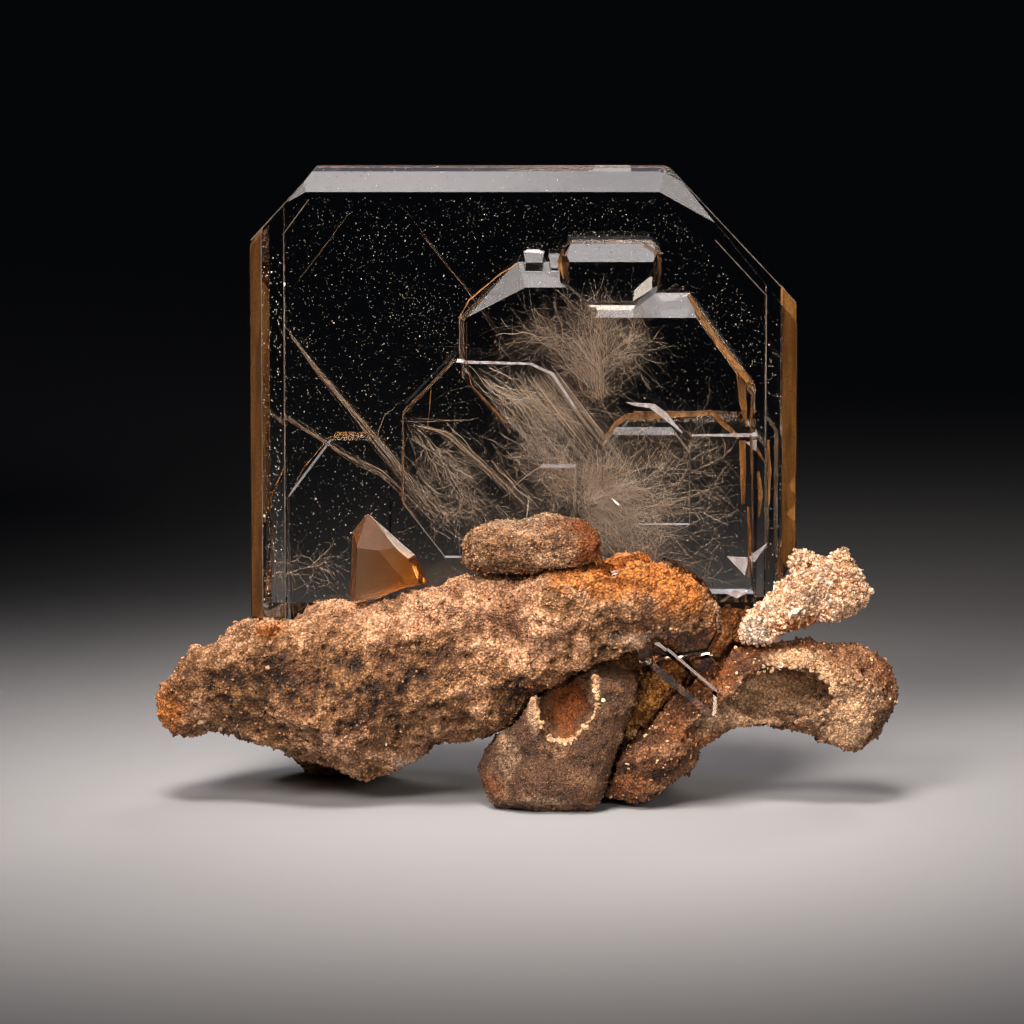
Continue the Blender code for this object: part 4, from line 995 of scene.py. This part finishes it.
class BARITE_OT_fibres(Operator):
    """Grow the feathery sprays, the long bundles and the straight needles inside the plate"""
    bl_idname = "barite.fibres"
    bl_label = "Enclosed fibres"

    def execute(self, context):
        rng = np.random.default_rng(41)
        thick = looks().fibre_width / MM
        tan = fibre_mineral("enclosed_mineral_fibre", "A0826C", looks().fibre_colour, "FFF6EE")
        for name, rows in SPRAYS.items():
            groups = []
            for *shape, full_count, scatter_x, scatter_z, per_stem in rows:
                count = max(4, int(full_count * looks().fibre_share))
                stems = fibre_lines(*shape, count, scatter_x, scatter_z, rng)
                barbs = barb_lines(stems, per_stem, rng)
                finer = barb_lines(barbs, FINER_PER_BARB, rng, 3)
                for lines, share, pale in ((stems, 1.0, STEM_PALE), (barbs, BARB_THICK, BARB_PALE),
                                           (finer, FINER_THICK, FINER_PALE)):
                    groups.append(fibre_tubes(kept_inside(lines), share * thick, pale, rng))
            toned_piece(name, groups, tan)
        threads = [fibre_tubes(bundle_lines(*row, rng), THREAD_THICK, THREAD_PALE, rng)
                   for row in BUNDLES]
        toned_piece("thread_bundles", threads, tan)
        needles = fibre_tubes(needle_lines(rng), NEEDLE_THICK, NEEDLE_PALE, rng)
        toned_piece("straight_needles", [needles], tan)
        return {"FINISHED"}


# Specks on the large faces: how far they keep from the plate's left, right, and foot and top,
# their size in mm and how it varies, how many lie on the front, and the slope of the plate's cut
# corners with where their edges lie at the height CORNER_TOP. Of the tries per speck, a share is
# kept that two smooth fields, each of a size in mm, a weight and a seed, raise and lower
SPECK_KEEP = (3.6, 3.4, 3.0)
SPECK_MM, SPECK_VARIES = 0.03, 0.4
SPECKS_IN_FRONT = 0.85
CORNER_SLOPE = 0.82
CORNER_LEFT, CORNER_RIGHT, CORNER_TOP = -21.9, 13.0, 60.7
TRIES_PER_SPECK = 3
KEPT_SHARE, KEPT_MEAN = 0.75, 0.7
KEPT_FIELDS = ((9.0, 0.4, 3), (3.0, 0.3, 5))
# Dots on the side bevels: their size in mm and how it varies, how flat they are, and for each side
# their count and how high they reach
DOT_SIZE, DOT_VARIES = 0.05, 0.35
DOT_SHAPE = np.array([1, 1, 0.25])
DOTS = ((LEFT, 330, 54.5), (RIGHT, 160, 48.0))
DOT_LOW = 2.0
SIDE_BEVEL_NORMAL = (0.628, -0.778, 0.0)
# How far outside the large faces the specks' middles lie
PLATE_PROUD = 0.005


def face_specks(rng):
    """Specks over the large faces, denser where two smooth fields are high, and their tones."""
    most = looks().speck_count
    count = most * TRIES_PER_SPECK
    x = rng.uniform(PLATE_LOW[0] + SPECK_KEEP[0], PLATE_HIGH[0] - SPECK_KEEP[1], count)
    z = rng.uniform(PLATE_LOW[2] + SPECK_KEEP[2], PLATE_HIGH[2] - SPECK_KEEP[2], count)
    spot = np.column_stack([x, np.zeros(count), z])
    dense = KEPT_MEAN + sum(weight * smooth_field(spot, size, seed)
                            for size, weight, seed in KEPT_FIELDS)
    below = (z - CORNER_TOP) * CORNER_SLOPE
    inside = ((x - CORNER_RIGHT) + below < 0) & ((CORNER_LEFT - x) + below < 0)
    keep = (rng.uniform(0, 1, count) < dense * KEPT_SHARE) & inside
    x, z = x[keep][:most], z[keep][:most]
    front = rng.uniform(0, 1, len(x)) < SPECKS_IN_FRONT
    y = np.where(front, FRONT - PLATE_PROUD, BACK + PLATE_PROUD)
    size = SPECK_MM * np.exp(SPECK_VARIES * rng.normal(size=len(x)))
    places = np.column_stack([x, y, z])
    part = many(SPECK, places, rng.normal(size=places.shape), size[:, None] * np.ones(3), rng)
    return part, np.repeat(rng.beta(1.1, 2.6, len(x)), len(SPECK[0]))


def bevel_dots(side, number, high, rng):
    """Flat dots at random places over one side's front bevel, and their tones."""
    sign, edge, stain, bevel = side[:4]
    u = rng.uniform(0.08, 1.0, number)
    z = rng.uniform(PLATE_LOW[2] + DOT_LOW, high, number)
    inner = edge - sign * (stain + bevel)
    places = np.column_stack([inner + sign * u * bevel, FRONT + u * bevel * SIDE_SLOPE, z])
    normal = np.tile(SIDE_BEVEL_NORMAL * np.array([sign, 1, 1]), (number, 1))
    size = DOT_SIZE * np.exp(DOT_VARIES * rng.normal(size=(number, 1)))
    part = many(OCTAHEDRON, places, normal, size * DOT_SHAPE, rng, 0.0)
    return part, np.repeat(rng.uniform(0.2, 1.0, number), len(OCTAHEDRON[0]))


class BARITE_OT_specks(Operator):
    """Strew fine specks over the plate's faces and dots along its side bevels"""
    bl_idname = "barite.specks"
    bl_label = "Specks"

    def execute(self, context):
        rng = np.random.default_rng(7)
        stops = [(0.0, "6E665E"), (0.45, "B8AEA4"), (1.0, "FFFCF8")]
        pale = toned_crystals("pale_overgrowth_specks", stops, 0.5)
        groups = [face_specks(rng)] + [bevel_dots(*dots, rng) for dots in DOTS]
        toned_piece("plate_specks", groups, pale)
        return {"FINISHED"}


# Skins of the coated blades: size of their faces, lumps as (size, height), a ledge's and a
# grain's size and height, and a pit's size and depth
SKINS = {
    "long_coated_blade": (0.26, [(3.4, 0.42), (1.3, 0.42)], (2.4, 0.16), (0.6, 0.24), (1.1, 0.45)),
    "matrix_core": (0.34, [(2.4, 0.40), (1.1, 0.24)], (2.0, 0.2), (0.7, 0.16), (1.3, 0.4)),
    "perched_coated_block": (0.15, [(1.6, 0.05), (0.8, 0.06)], (1.6, 0.04), (0.42, 0.1), (0.8, 0.15)),
    "broken_hollow_blade": (0.18, [(2.4, 0.16), (0.9, 0.1)], (2.0, 0.1), (0.45, 0.08), (1.0, 0.2)),
    "drusy_shell_blade": (0.19, [(1.6, 0.22), (0.8, 0.2)], (1.8, 0.2), (0.55, 0.16), (0.9, 0.35)),
    "coated_rib": (0.16, [(1.4, 0.25), (0.7, 0.2)], (1.4, 0.15), (0.5, 0.16), (0.9, 0.3)),
    "cream_druse": (0.15, [(1.3, 0.2), (0.65, 0.2)], (1.6, 0.08), (0.5, 0.2), (0.9, 0.35)),
}
# Where iron stain and pale blooms lie on them, over the photograph's face of the specimen. The stain
# is partly painted shade, and the pale blooms partly painted light. Each row: x, z, reach along x,
# reach along z, and strength
# Stain spots, partly iron stain and partly painted shade: they darken the perched block's end face and the
# hollow blade's mouth
IRON_STAIN_AND_PAINTED_SHADE = {
    "long_coated_blade": [(-36.0, 9.5, 3.0, 4.0, 0.6), (9.0, 24.0, 9.0, 2.6, 0.85),
                          (15.5, 21.0, 3.0, 2.6, 0.5), (-25.5, 18.0, 1.8, 1.0, 0.7),
                          (2.0, 12.5, 4.0, 1.6, 0.35)],
    "perched_coated_block": [(6.6, 25.8, 2.3, 3.6, 1.0), (-6.4, 26.0, 1.0, 1.4, 0.4),
                             (0.0, 28.4, 7.0, 0.5, 0.5)],
    "broken_hollow_blade": [(3.9, 10.4, 1.9, 3.2, 0.95), (-4.0, 2.4, 2.2, 1.8, 0.5),
                            (6.5, 1.5, 3.0, 1.5, 0.3)],
    "drusy_shell_blade": [(17.5, 13.6, 4.0, 2.2, 0.7), (24.0, 16.4, 7.0, 1.2, 0.7),
                          (21.5, 7.0, 5.0, 0.8, 0.65), (10.0, 2.4, 3.0, 2.4, 0.45),
                          (34.5, 13.0, 2.6, 2.4, 0.5), (15.0, 8.6, 2.4, 1.4, 0.5)],
    "coated_rib": [(12.0, 10.5, 4.0, 5.0, 0.3)],
    "cream_druse": [(26.6, 18.0, 4.0, 1.0, 0.8), (26.6, 21.0, 2.4, 2.4, 0.35)],
    "matrix_core": [(20.0, 16.0, 5.0, 6.0, 0.5)],
}
# Pale blooms, partly painted light: they lighten the shell's shadowed hollow, the block's top and crests
PALE_BLOOM_AND_PAINTED_LIGHT = {
    "long_coated_blade": [(-20.0, 2.8, 3.0, 0.8, 0.5), (-12.4, 4.0, 1.6, 0.8, 0.5),
                          (12.0, 17.4, 6.0, 1.2, 0.3), (-31.0, 7.6, 4.0, 0.7, 0.3)],
    "perched_coated_block": [(-1.0, 28.8, 4.0, 1.2, 0.4)],
    "broken_hollow_blade": [(0.6, 10.6, 0.7, 2.0, 0.8), (6.6, 12.6, 0.6, 2.2, 0.6),
                            (-2.0, 6.0, 1.6, 3.0, 0.4), (1.6, 1.4, 3.0, 1.0, 0.4)],
    "drusy_shell_blade": [(26.4, 15.2, 2.6, 0.7, 0.9), (29.2, 13.0, 1.2, 1.4, 0.9),
                          (31.5, 7.6, 2.6, 2.2, 0.75), (33.0, 11.8, 3.0, 2.6, 0.45),
                          (24.6, 11.2, 4.2, 2.4, 0.75), (18.6, 8.8, 3.6, 1.6, 0.45)],
    "coated_rib": [(10.6, 5.4, 1.2, 1.2, 0.8)],
    "cream_druse": [(22.6, 17.4, 2.2, 1.4, 0.7), (28.0, 20.8, 2.6, 1.4, 0.4)],
    "matrix_core": [],
}
# Painted light and shade on their crusts: spots that lighten the colour as painted light on tops and
# feet and darken it as painted shade in hollows, in rows like the stain's
PAINTED_LIGHT_AND_SHADE = {
    "long_coated_blade": [(-29.2, 18.2, 6.0, 2.2, 0.30), (-19.4, 18.7, 7.0, 2.0, 0.35),
                          (-9.6, 20.2, 7.0, 2.4, 0.30), (-1.7, 19.2, 6.0, 3.4, 0.45),
                          (6.2, 21.2, 6.0, 2.0, 0.12), (-25.3, 12.3, 5.0, 2.6, -0.30),
                          (-19.4, 12.3, 5.0, 2.8, -0.30), (-14.5, 11.8, 4.0, 2.6, -0.20),
                          (-9.6, 12.3, 4.0, 2.0, -0.20), (-19.4, 6.3, 5.0, 1.8, 0.45),
                          (-14.5, 4.8, 4.0, 1.2, 0.40), (0.3, 17.4, 4.5, 1.4, 0.35)],
    "drusy_shell_blade": [(32.3, 15.1, 3.0, 2.5, 0.30), (21.0, 9.6, 2.5, 2.0, -0.30),
                          (24.4, 9.3, 4.0, 1.6, -0.45), (30.8, 8.9, 3.6, 1.6, -0.25),
                          (9.7, 4.6, 3.0, 3.0, -0.30)],
    "broken_hollow_blade": [(-1.7, 12.4, 2.0, 2.0, 0.25), (-2.7, 4.5, 3.0, 2.0, -0.20)],
    "cream_druse": [(26.6, 20.0, 8.0, 8.0, 0.1)],
}
SKIN_POINTS = {}
# The skins' mean depth in mm under the solids' faces, so that their crests reach the outline
INSET = 0.2
# Ledges run long over x and a little over y and rise steeply; a pit sinks within PIT_EDGE of its
# middle, in cells, over PIT_SLOPE, in the cells whose number is above PIT_FROM. Each skin has its
# own seed, and the points of a solid are merged within MERGE_M metres
LEDGE_STRETCH, LEDGE_STEEP = (0.35, 0.7, 1.0), 4
PIT_EDGE, PIT_SLOPE, PIT_FROM = 0.42, 0.3, 0.45
MERGE_M = 1e-6
SKIN_SEED, SKIN_SEED_STEP = 3, 13


def even_copy(node, size_mm):
    """Copy of a solid's mesh, merged and remade with even faces of the given size."""
    work = bmesh.new()
    work.from_mesh(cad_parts[node].data)
    bmesh.ops.remove_doubles(work, verts=work.verts, dist=MERGE_M)
    mesh = bpy.data.meshes.new(node + "_source")
    work.to_mesh(mesh)
    work.free()
    carrier = bpy.data.objects.new(node + "_source", mesh)
    bpy.context.scene.collection.objects.link(carrier)
    modifier = carrier.modifiers.new("even faces", "REMESH")
    modifier.mode = "VOXEL"
    modifier.voxel_size = size_mm * MM
    evaluated = carrier.evaluated_get(bpy.context.evaluated_depsgraph_get())
    even = bpy.data.meshes.new_from_object(evaluated)
    bpy.data.objects.remove(carrier)
    bpy.data.meshes.remove(mesh)
    even.name = node + "_skin"
    return even


def mesh_arrays(mesh):
    """A mesh's points in mm and its outward normals."""
    points = np.empty(3 * len(mesh.vertices))
    mesh.vertices.foreach_get("co", points)
    normals = np.empty(3 * len(mesh.vertices))
    mesh.vertex_normals.foreach_get("vector", normals)
    return points.reshape(-1, 3) / MM, normals.reshape(-1, 3)


def roughened(mesh, lumps, ledge, grain, pit, seed):
    """Move each point along its normal by the sum of the skin's fields; return its lift, 0 to 1.

    Lumps are smooth fields; ledges a field stretched along x and passed through a steep s-curve;
    grains stand round, as one minus the square of the distance to the nearest grain's middle;
    pits sink where the middles of a second cell field are near.
    """
    points, normals = mesh_arrays(mesh)
    lift = np.zeros(len(points))
    for number, (size, height) in enumerate(lumps):
        lift += height * smooth_field(points, size, seed + number)
    ledges = smooth_field(points * LEDGE_STRETCH, ledge[0], seed + 11)
    lift += ledge[1] * np.tanh(LEDGE_STEEP * ledges)
    away, number = cell_field(points, grain[0], seed + 20)
    lift += grain[1] * (1 - away ** 2) * (0.5 + number)
    away, number = cell_field(points, pit[0], seed + 31)
    lift -= pit[1] * step_up(PIT_EDGE - away, 0.0, PIT_SLOPE) * (number > PIT_FROM)
    lift -= lift.mean() + INSET
    moved = points + normals * lift[:, None]
    mesh.vertices.foreach_set("co", (moved * MM).astype(np.float32).ravel())
    mesh.update()
    return np.clip(0.5 + 0.25 * (lift - lift.mean()) / (np.std(lift) + TINY), 0, 1)


class BARITE_OT_coated_blades(Operator):
    """Replace each coated blade by its fine skin"""
    bl_idname = "barite.coated_blades"
    bl_label = "Coated blades"

    def execute(self, context):
        finishes = coating_finishes()
        for number, (node, (size, *fields)) in enumerate(SKINS.items()):
            mesh = even_copy(node, size)
            lift = roughened(mesh, *fields, SKIN_SEED + SKIN_SEED_STEP * number)
            SKIN_POINTS[node] = mesh_arrays(mesh)
            set_tones(mesh, node, lift, SKIN_POINTS[node][0])
            add_piece(node + "_skin", mesh, finishes[node], True, (node,))
        return {"FINISHED"}


def set_tones(mesh, node, tones, places, each=1):
    """Store tone with painted light and shade, stain with painted shade, and pale blooms with painted
    light, worked out at the places and repeated for each one's points.
    """
    # painted light and shade: spots lighten tops and feet and darken hollows
    shade = spots(places, PAINTED_LIGHT_AND_SHADE.get(node, []), -1.0)
    set_tone(mesh, np.repeat(np.clip(tones + shade, 0, 1), each))
    set_tone(mesh, np.repeat(spots(places, IRON_STAIN_AND_PAINTED_SHADE[node]), each), "stain")
    set_tone(mesh, np.repeat(spots(places, PALE_BLOOM_AND_PAINTED_LIGHT[node]), each), "bloom_and_painted_light")


def spots(points, rows, least=0.0):
    """Sum of smooth spots over x and z, each falling off as exp(-(distance / reach) squared)."""
    total = np.zeros(len(points))
    for x, z, reach_x, reach_z, strength in rows:
        away = ((points[:, 0] - x) / reach_x) ** 2 + ((points[:, 2] - z) / reach_z) ** 2
        total += strength * np.exp(-away)
    return np.clip(total, least, 1)


def coating_finishes():
    """The coating of each blade: colours of pits (painted shade), lows, highs, crests (painted
    highlight), patches, stain (partly painted shade) and blooms (partly painted light).
    """
    return {
        "long_coated_blade": coating(
            "sandy_coating", "331C10", "7E5432", "AA7A50", "ECB28A", "86583A", "DE8840", "F6D8C0",
            patch_mm=5.0),
        "matrix_core": coating(
            "brown_coating", "462410", "8A5226", "AC703A", "D09C66", "8C5022", "B0642A", "D0B490"),
        "perched_coated_block": coating(
            "pinkish_coating", "4A2A18", "8E6444", "B88864", "E8BC94", "8C6040", "8E4A16", "E8CCB0",
            grain_mm=0.22, patch_mm=3.0),
        "broken_hollow_blade": coating(
            "sugary_coating", "462C1A", "60402A", "704C34", "926A4A", "66442E", "94501E", "D4AC8C",
            grain_mm=0.18, bump_mm=0.1, sparkle=0.08),
        "drusy_shell_blade": coating(
            "shell_coating", "3A2212", "643C22", "825232", "B07C56", "74482C", "9C5824", "F6C69C",
            grain_mm=0.22, bump_mm=0.16, sparkle=0.08),
        "coated_rib": coating(
            "orange_coating", "54300F", "96602A", "BC7C38", "DCA460", "9C6224", "B8701E", "F0D4AC"),
        "cream_druse": coating(
            "cream_druse", "DC8C50", "FFB886", "FFCCA2", "FFE0C8", "FFBE8C", "D8823C", "FFE2CE",
            grain_mm=0.24, patch_mm=2.6, sparkle=0.12, gloss=0.6),
    }


# Loose growths on the skins: name, node, shape, count, half size, how far their corners vary, and
# whose finish they have
GRAINS = [
    ("sandy_grains", "long_coated_blade", PEBBLE, 9000, 0.14, 0.4, "long_coated_blade"),
    ("block_grains", "perched_coated_block", PEBBLE, 1500, 0.11, 0.4, "perched_coated_block"),
    ("core_grains", "matrix_core", PEBBLE, 2500, 0.2, 0.4, "matrix_core"),
    ("shell_grains", "drusy_shell_blade", PEBBLE, 4200, 0.12, 0.4, "drusy_shell_blade"),
    ("shell_crystals", "drusy_shell_blade", TABLET, 500, 0.12, 0.15, "shell"),
    ("druse_grains", "cream_druse", PEBBLE, 2600, 0.17, 0.4, "cream_druse"),
    ("druse_crystals", "cream_druse", TABLET, 700, 0.2, 0.15, "druse"),
    ("hollow_grains", "broken_hollow_blade", PEBBLE, 2400, 0.09, 0.3, "broken_hollow_blade"),
    ("rib_grains", "coated_rib", PEBBLE, 900, 0.16, 0.3, "coated_rib"),
]


# Small bright crystals along the broken rims: node, line of x, y and z, count, half size, and
# how far they stray from the line
RIMS = [
    ("broken_hollow_blade", [(-0.2, -13.0, 11.4), (1.6, -13.4, 9.6), (4.0, -13.8, 7.1)],
     80, 0.24, 0.22),
    ("broken_hollow_blade", [(4.2, -13.6, 7.2), (6.4, -13.2, 9.4), (6.7, -13.0, 12.6),
                             (5.4, -12.6, 14.9)], 90, 0.22, 0.26),
    ("drusy_shell_blade", [(22.6, -11.0, 14.4), (25.3, -11.4, 15.2), (27.8, -11.4, 14.2),
                           (29.6, -11.2, 12.4), (28.6, -11.0, 10.2)], 300, 0.15, 0.6),
    ("drusy_shell_blade", [(31.0, -11.4, 13.2), (32.6, -11.2, 11.4), (31.2, -11.2, 9.0)],
     160, 0.15, 1.1),
    ("coated_rib", [(10.4, -7.0, 5.6), (11.2, -7.0, 6.2)], 60, 0.2, 0.5),
    ("long_coated_blade", [(-8.8, -12.0, 21.2), (-8.3, -12.0, 21.3)], 9, 0.22, 0.15),
    ("long_coated_blade", [(-32.4, -10.0, 7.5), (-31.9, -10.0, 7.6)], 6, 0.2, 0.15),
    ("long_coated_blade", [(-19.6, -13.0, 2.9), (-16.6, -13.0, 2.9), (-13.0, -12.6, 3.6)],
     90, 0.1, 0.4),
]


# How sizes vary, how far the grains and tablets tilt, how rough the tablets are, how far grains
# stand out as a share of their size and the rims' crystals in mm, how near a rim's skin is, and the
# tones' mean and spread
SIZE_VARIES, SIDE_VARIES = 0.3, (0.7, 1.2)
GRAIN_TILT, TABLET_TILT = 0.3, 0.9
TABLET_ROUGH = 0.15
GRAIN_OUT, RIM_OUT = 0.25, 0.06
RIM_NEAR = 3.0
GRAIN_TONES, RIM_TONES = (0.62, 0.2), (0.55, 0.25)


def beside(line, points, count, stray, rng):
    """Numbers of the mesh points nearest to random places along a line."""
    line = np.asarray(line, float)
    length = reach_along(line)[-1]
    places = points_along(line, rng.uniform(0, length, count))
    places += stray * rng.normal(size=(count, 3))
    near = np.flatnonzero(np.abs(points - line.mean(axis=0)).max(axis=1) < length + RIM_NEAR)
    away = ((places[:, None] - points[near][None]) ** 2).sum(axis=2)
    return near[away.argmin(axis=1)]


def varied(size, count, rng):
    """Half sizes of many grains along their own axes, varied for the grain and for each axis."""
    size = size * looks().grain_size
    return size * np.exp(SIZE_VARIES * rng.normal(size=(count, 1))) * rng.uniform(*SIDE_VARIES, (count, 3))


class BARITE_OT_grains(Operator):
    """Grow the grains and the small crystals on the coated blades"""
    bl_idname = "barite.grains"
    bl_label = "Grains and small crystals"

    def execute(self, context):
        rng = np.random.default_rng(23)
        finishes = {
            "shell": druse_crystals("shell_rim_crystals", "A86C40", "ECBE94"),
            "druse": druse_crystals("cream_druse_crystals", "F0AC7C", "FFE0C8"),
        }
        for name, node, shape, count, size, rough, finish in GRAINS:
            points, normals = SKIN_POINTS[node]
            chosen = rng.integers(0, len(points), count)
            sizes = varied(size, count, rng)
            places = points[chosen] + normals[chosen] * sizes.mean(axis=1)[:, None] * GRAIN_OUT
            tilt = TABLET_TILT if shape is TABLET else GRAIN_TILT
            mesh = new_mesh(name, *many(shape, places, normals[chosen], sizes, rng, tilt, rough))
            set_tones(mesh, node, rng.normal(*GRAIN_TONES, count), places, len(shape[0]))
            material = finishes.get(finish) or bpy.data.objects[finish + "_skin"].data.materials[0]
            add_piece(name, mesh, material)
        rim_finish = druse_crystals("broken_rim_crystals", "8C6040", "D0AC88")
        for number, (node, line, count, size, stray) in enumerate(RIMS):
            points, normals = SKIN_POINTS[node]
            chosen = beside(line, points, count, stray, rng)
            sizes = varied(size, count, rng)
            places = points[chosen] + normals[chosen] * RIM_OUT
            name = "rim_crystals_" + str(number)
            mesh = new_mesh(name, *many(TABLET, places, normals[chosen], sizes, rng, TABLET_TILT,
                                        TABLET_ROUGH))
            tones = np.clip(rng.normal(*RIM_TONES, count), 0, 1)
            set_tone(mesh, np.repeat(tones, len(TABLET[0])))
            add_piece(name, mesh, rim_finish)
        return {"FINISHED"}


# Floor: a disc of this radius in mm and so many sides
FLOOR_RADIUS, FLOOR_SIDES = 6000.0, 128
# Softboxes: name, place, what they face, width and height in metres, share of the light's power,
# colour, and spread in degrees
WARM = "FFF2E2"
LIGHTS = [
    ("overhead_softbox", (-0.004, -0.01, 0.27), (-0.004, -0.01, 0.0), 0.32, 0.18, 0.22, "F2F0FF", 40.0),
    ("front_fill", (-0.11, -0.27, 0.2), (0.0, -0.015, 0.016), 0.12, 0.12, 0.62, WARM, 30.0),
    ("low_fill", (0.09, -0.3, 0.1), (0.022, -0.012, 0.012), 0.08, 0.08, 0.1, WARM, 24.0),
    ("front_top", (-0.03, -0.13, 0.26), (-0.005, -0.01, 0.02), 0.12, 0.1, 0.57, WARM, 30.0),
    ("rear_fill", (0.07, 0.17, 0.19), (0.0, 0.01, 0.02), 0.14, 0.14, 0.13, WARM, 30.0),
]


def softbox(name, place, target, width, height, share, colour, spread):
    """Add one light of the table, aimed at its target."""
    data = bpy.data.lights.new(name, "AREA")
    data.shape = "RECTANGLE"
    data.size = width
    data.size_y = height
    data.energy = share * looks().light_power
    data.color = linear(colour)[:3]
    data.spread = math.radians(spread)
    light = bpy.data.objects.new(name, data)
    bpy.context.scene.collection.objects.link(light)
    light.location = place
    light.rotation_euler = (Vector(target) - Vector(place)).to_track_quat("-Z", "Y").to_euler()


class BARITE_OT_stage(Operator):
    """Set the pale floor, the soft studio light and the camera"""
    bl_idname = "barite.stage"
    bl_label = "Stage"

    def execute(self, context):
        scene = context.scene
        turn = np.linspace(0, 2 * math.pi, FLOOR_SIDES, endpoint=False)
        rim = FLOOR_RADIUS * np.column_stack([np.cos(turn), np.sin(turn), 0 * turn])
        ring = np.arange(FLOOR_SIDES)
        faces = np.stack([ring, np.roll(ring, -1), np.full(FLOOR_SIDES, FLOOR_SIDES)], axis=1)
        board, _, shader = new_material("pale_matt_board")
        shader.inputs["Base Color"].default_value = linear(looks().floor_colour)
        shader.inputs["Roughness"].default_value = 0.7
        mesh = new_mesh("floor", np.vstack([rim, np.zeros((1, 3))]), faces)
        mesh.materials.append(board)
        floor = bpy.data.objects.new("floor", mesh)
        scene.collection.objects.link(floor)
        world = bpy.data.worlds.new("dark studio")
        world.use_nodes = True
        world.node_tree.nodes["Background"].inputs["Color"].default_value = linear("0C0D10")
        world.node_tree.nodes["Background"].inputs["Strength"].default_value = 1.0
        scene.world = world
        for row in LIGHTS:
            softbox(*row)
        scene.view_settings.view_transform = "Standard"
        camera_data = bpy.data.cameras.new("camera")
        camera_data.lens = VIEW_LENS
        camera_data.clip_start = 0.01
        camera = bpy.data.objects.new("camera", camera_data)
        scene.collection.objects.link(camera)
        rise = math.radians(VIEW_ELEVATION)
        back = VIEW_DISTANCE * MM
        centre = Vector(VIEW_CENTRE) * MM
        camera.location = centre + Vector((0, -back * math.cos(rise), back * math.sin(rise)))
        camera.rotation_euler = (math.radians(90) - rise, 0, 0)
        scene.camera = camera
        return {"FINISHED"}


STEPS = ("clear_crystals", "amber_films", "fibres", "specks", "coated_blades", "grains", "stage")


class BARITE_PT_panel(Panel):
    """Lists the steps and the settings"""
    bl_idname = "BARITE_PT_panel"
    bl_label = "Barite Specimen"
    bl_space_type = "VIEW_3D"
    bl_region_type = "UI"
    bl_category = "Barite"

    def draw(self, context):
        settings = context.scene.barite_looks
        for name in settings.bl_rna.properties.keys():
            if name not in ("rna_type", "name"):
                self.layout.prop(settings, name)
        for step in STEPS:
            self.layout.operator("barite." + step)


CLASSES = (BariteLooks, BARITE_OT_clear_crystals, BARITE_OT_amber_films, BARITE_OT_fibres,
           BARITE_OT_specks, BARITE_OT_coated_blades, BARITE_OT_grains, BARITE_OT_stage,
           BARITE_PT_panel)


def register():
    for cls in CLASSES:
        bpy.utils.register_class(cls)
    bpy.types.Scene.barite_looks = PointerProperty(type=BariteLooks)


def unregister():
    del bpy.types.Scene.barite_looks
    for cls in reversed(CLASSES):
        bpy.utils.unregister_class(cls)


def main():
    register()
    for step in STEPS:
        getattr(bpy.ops.barite, step)()


if __name__ == "__main__":
    main()
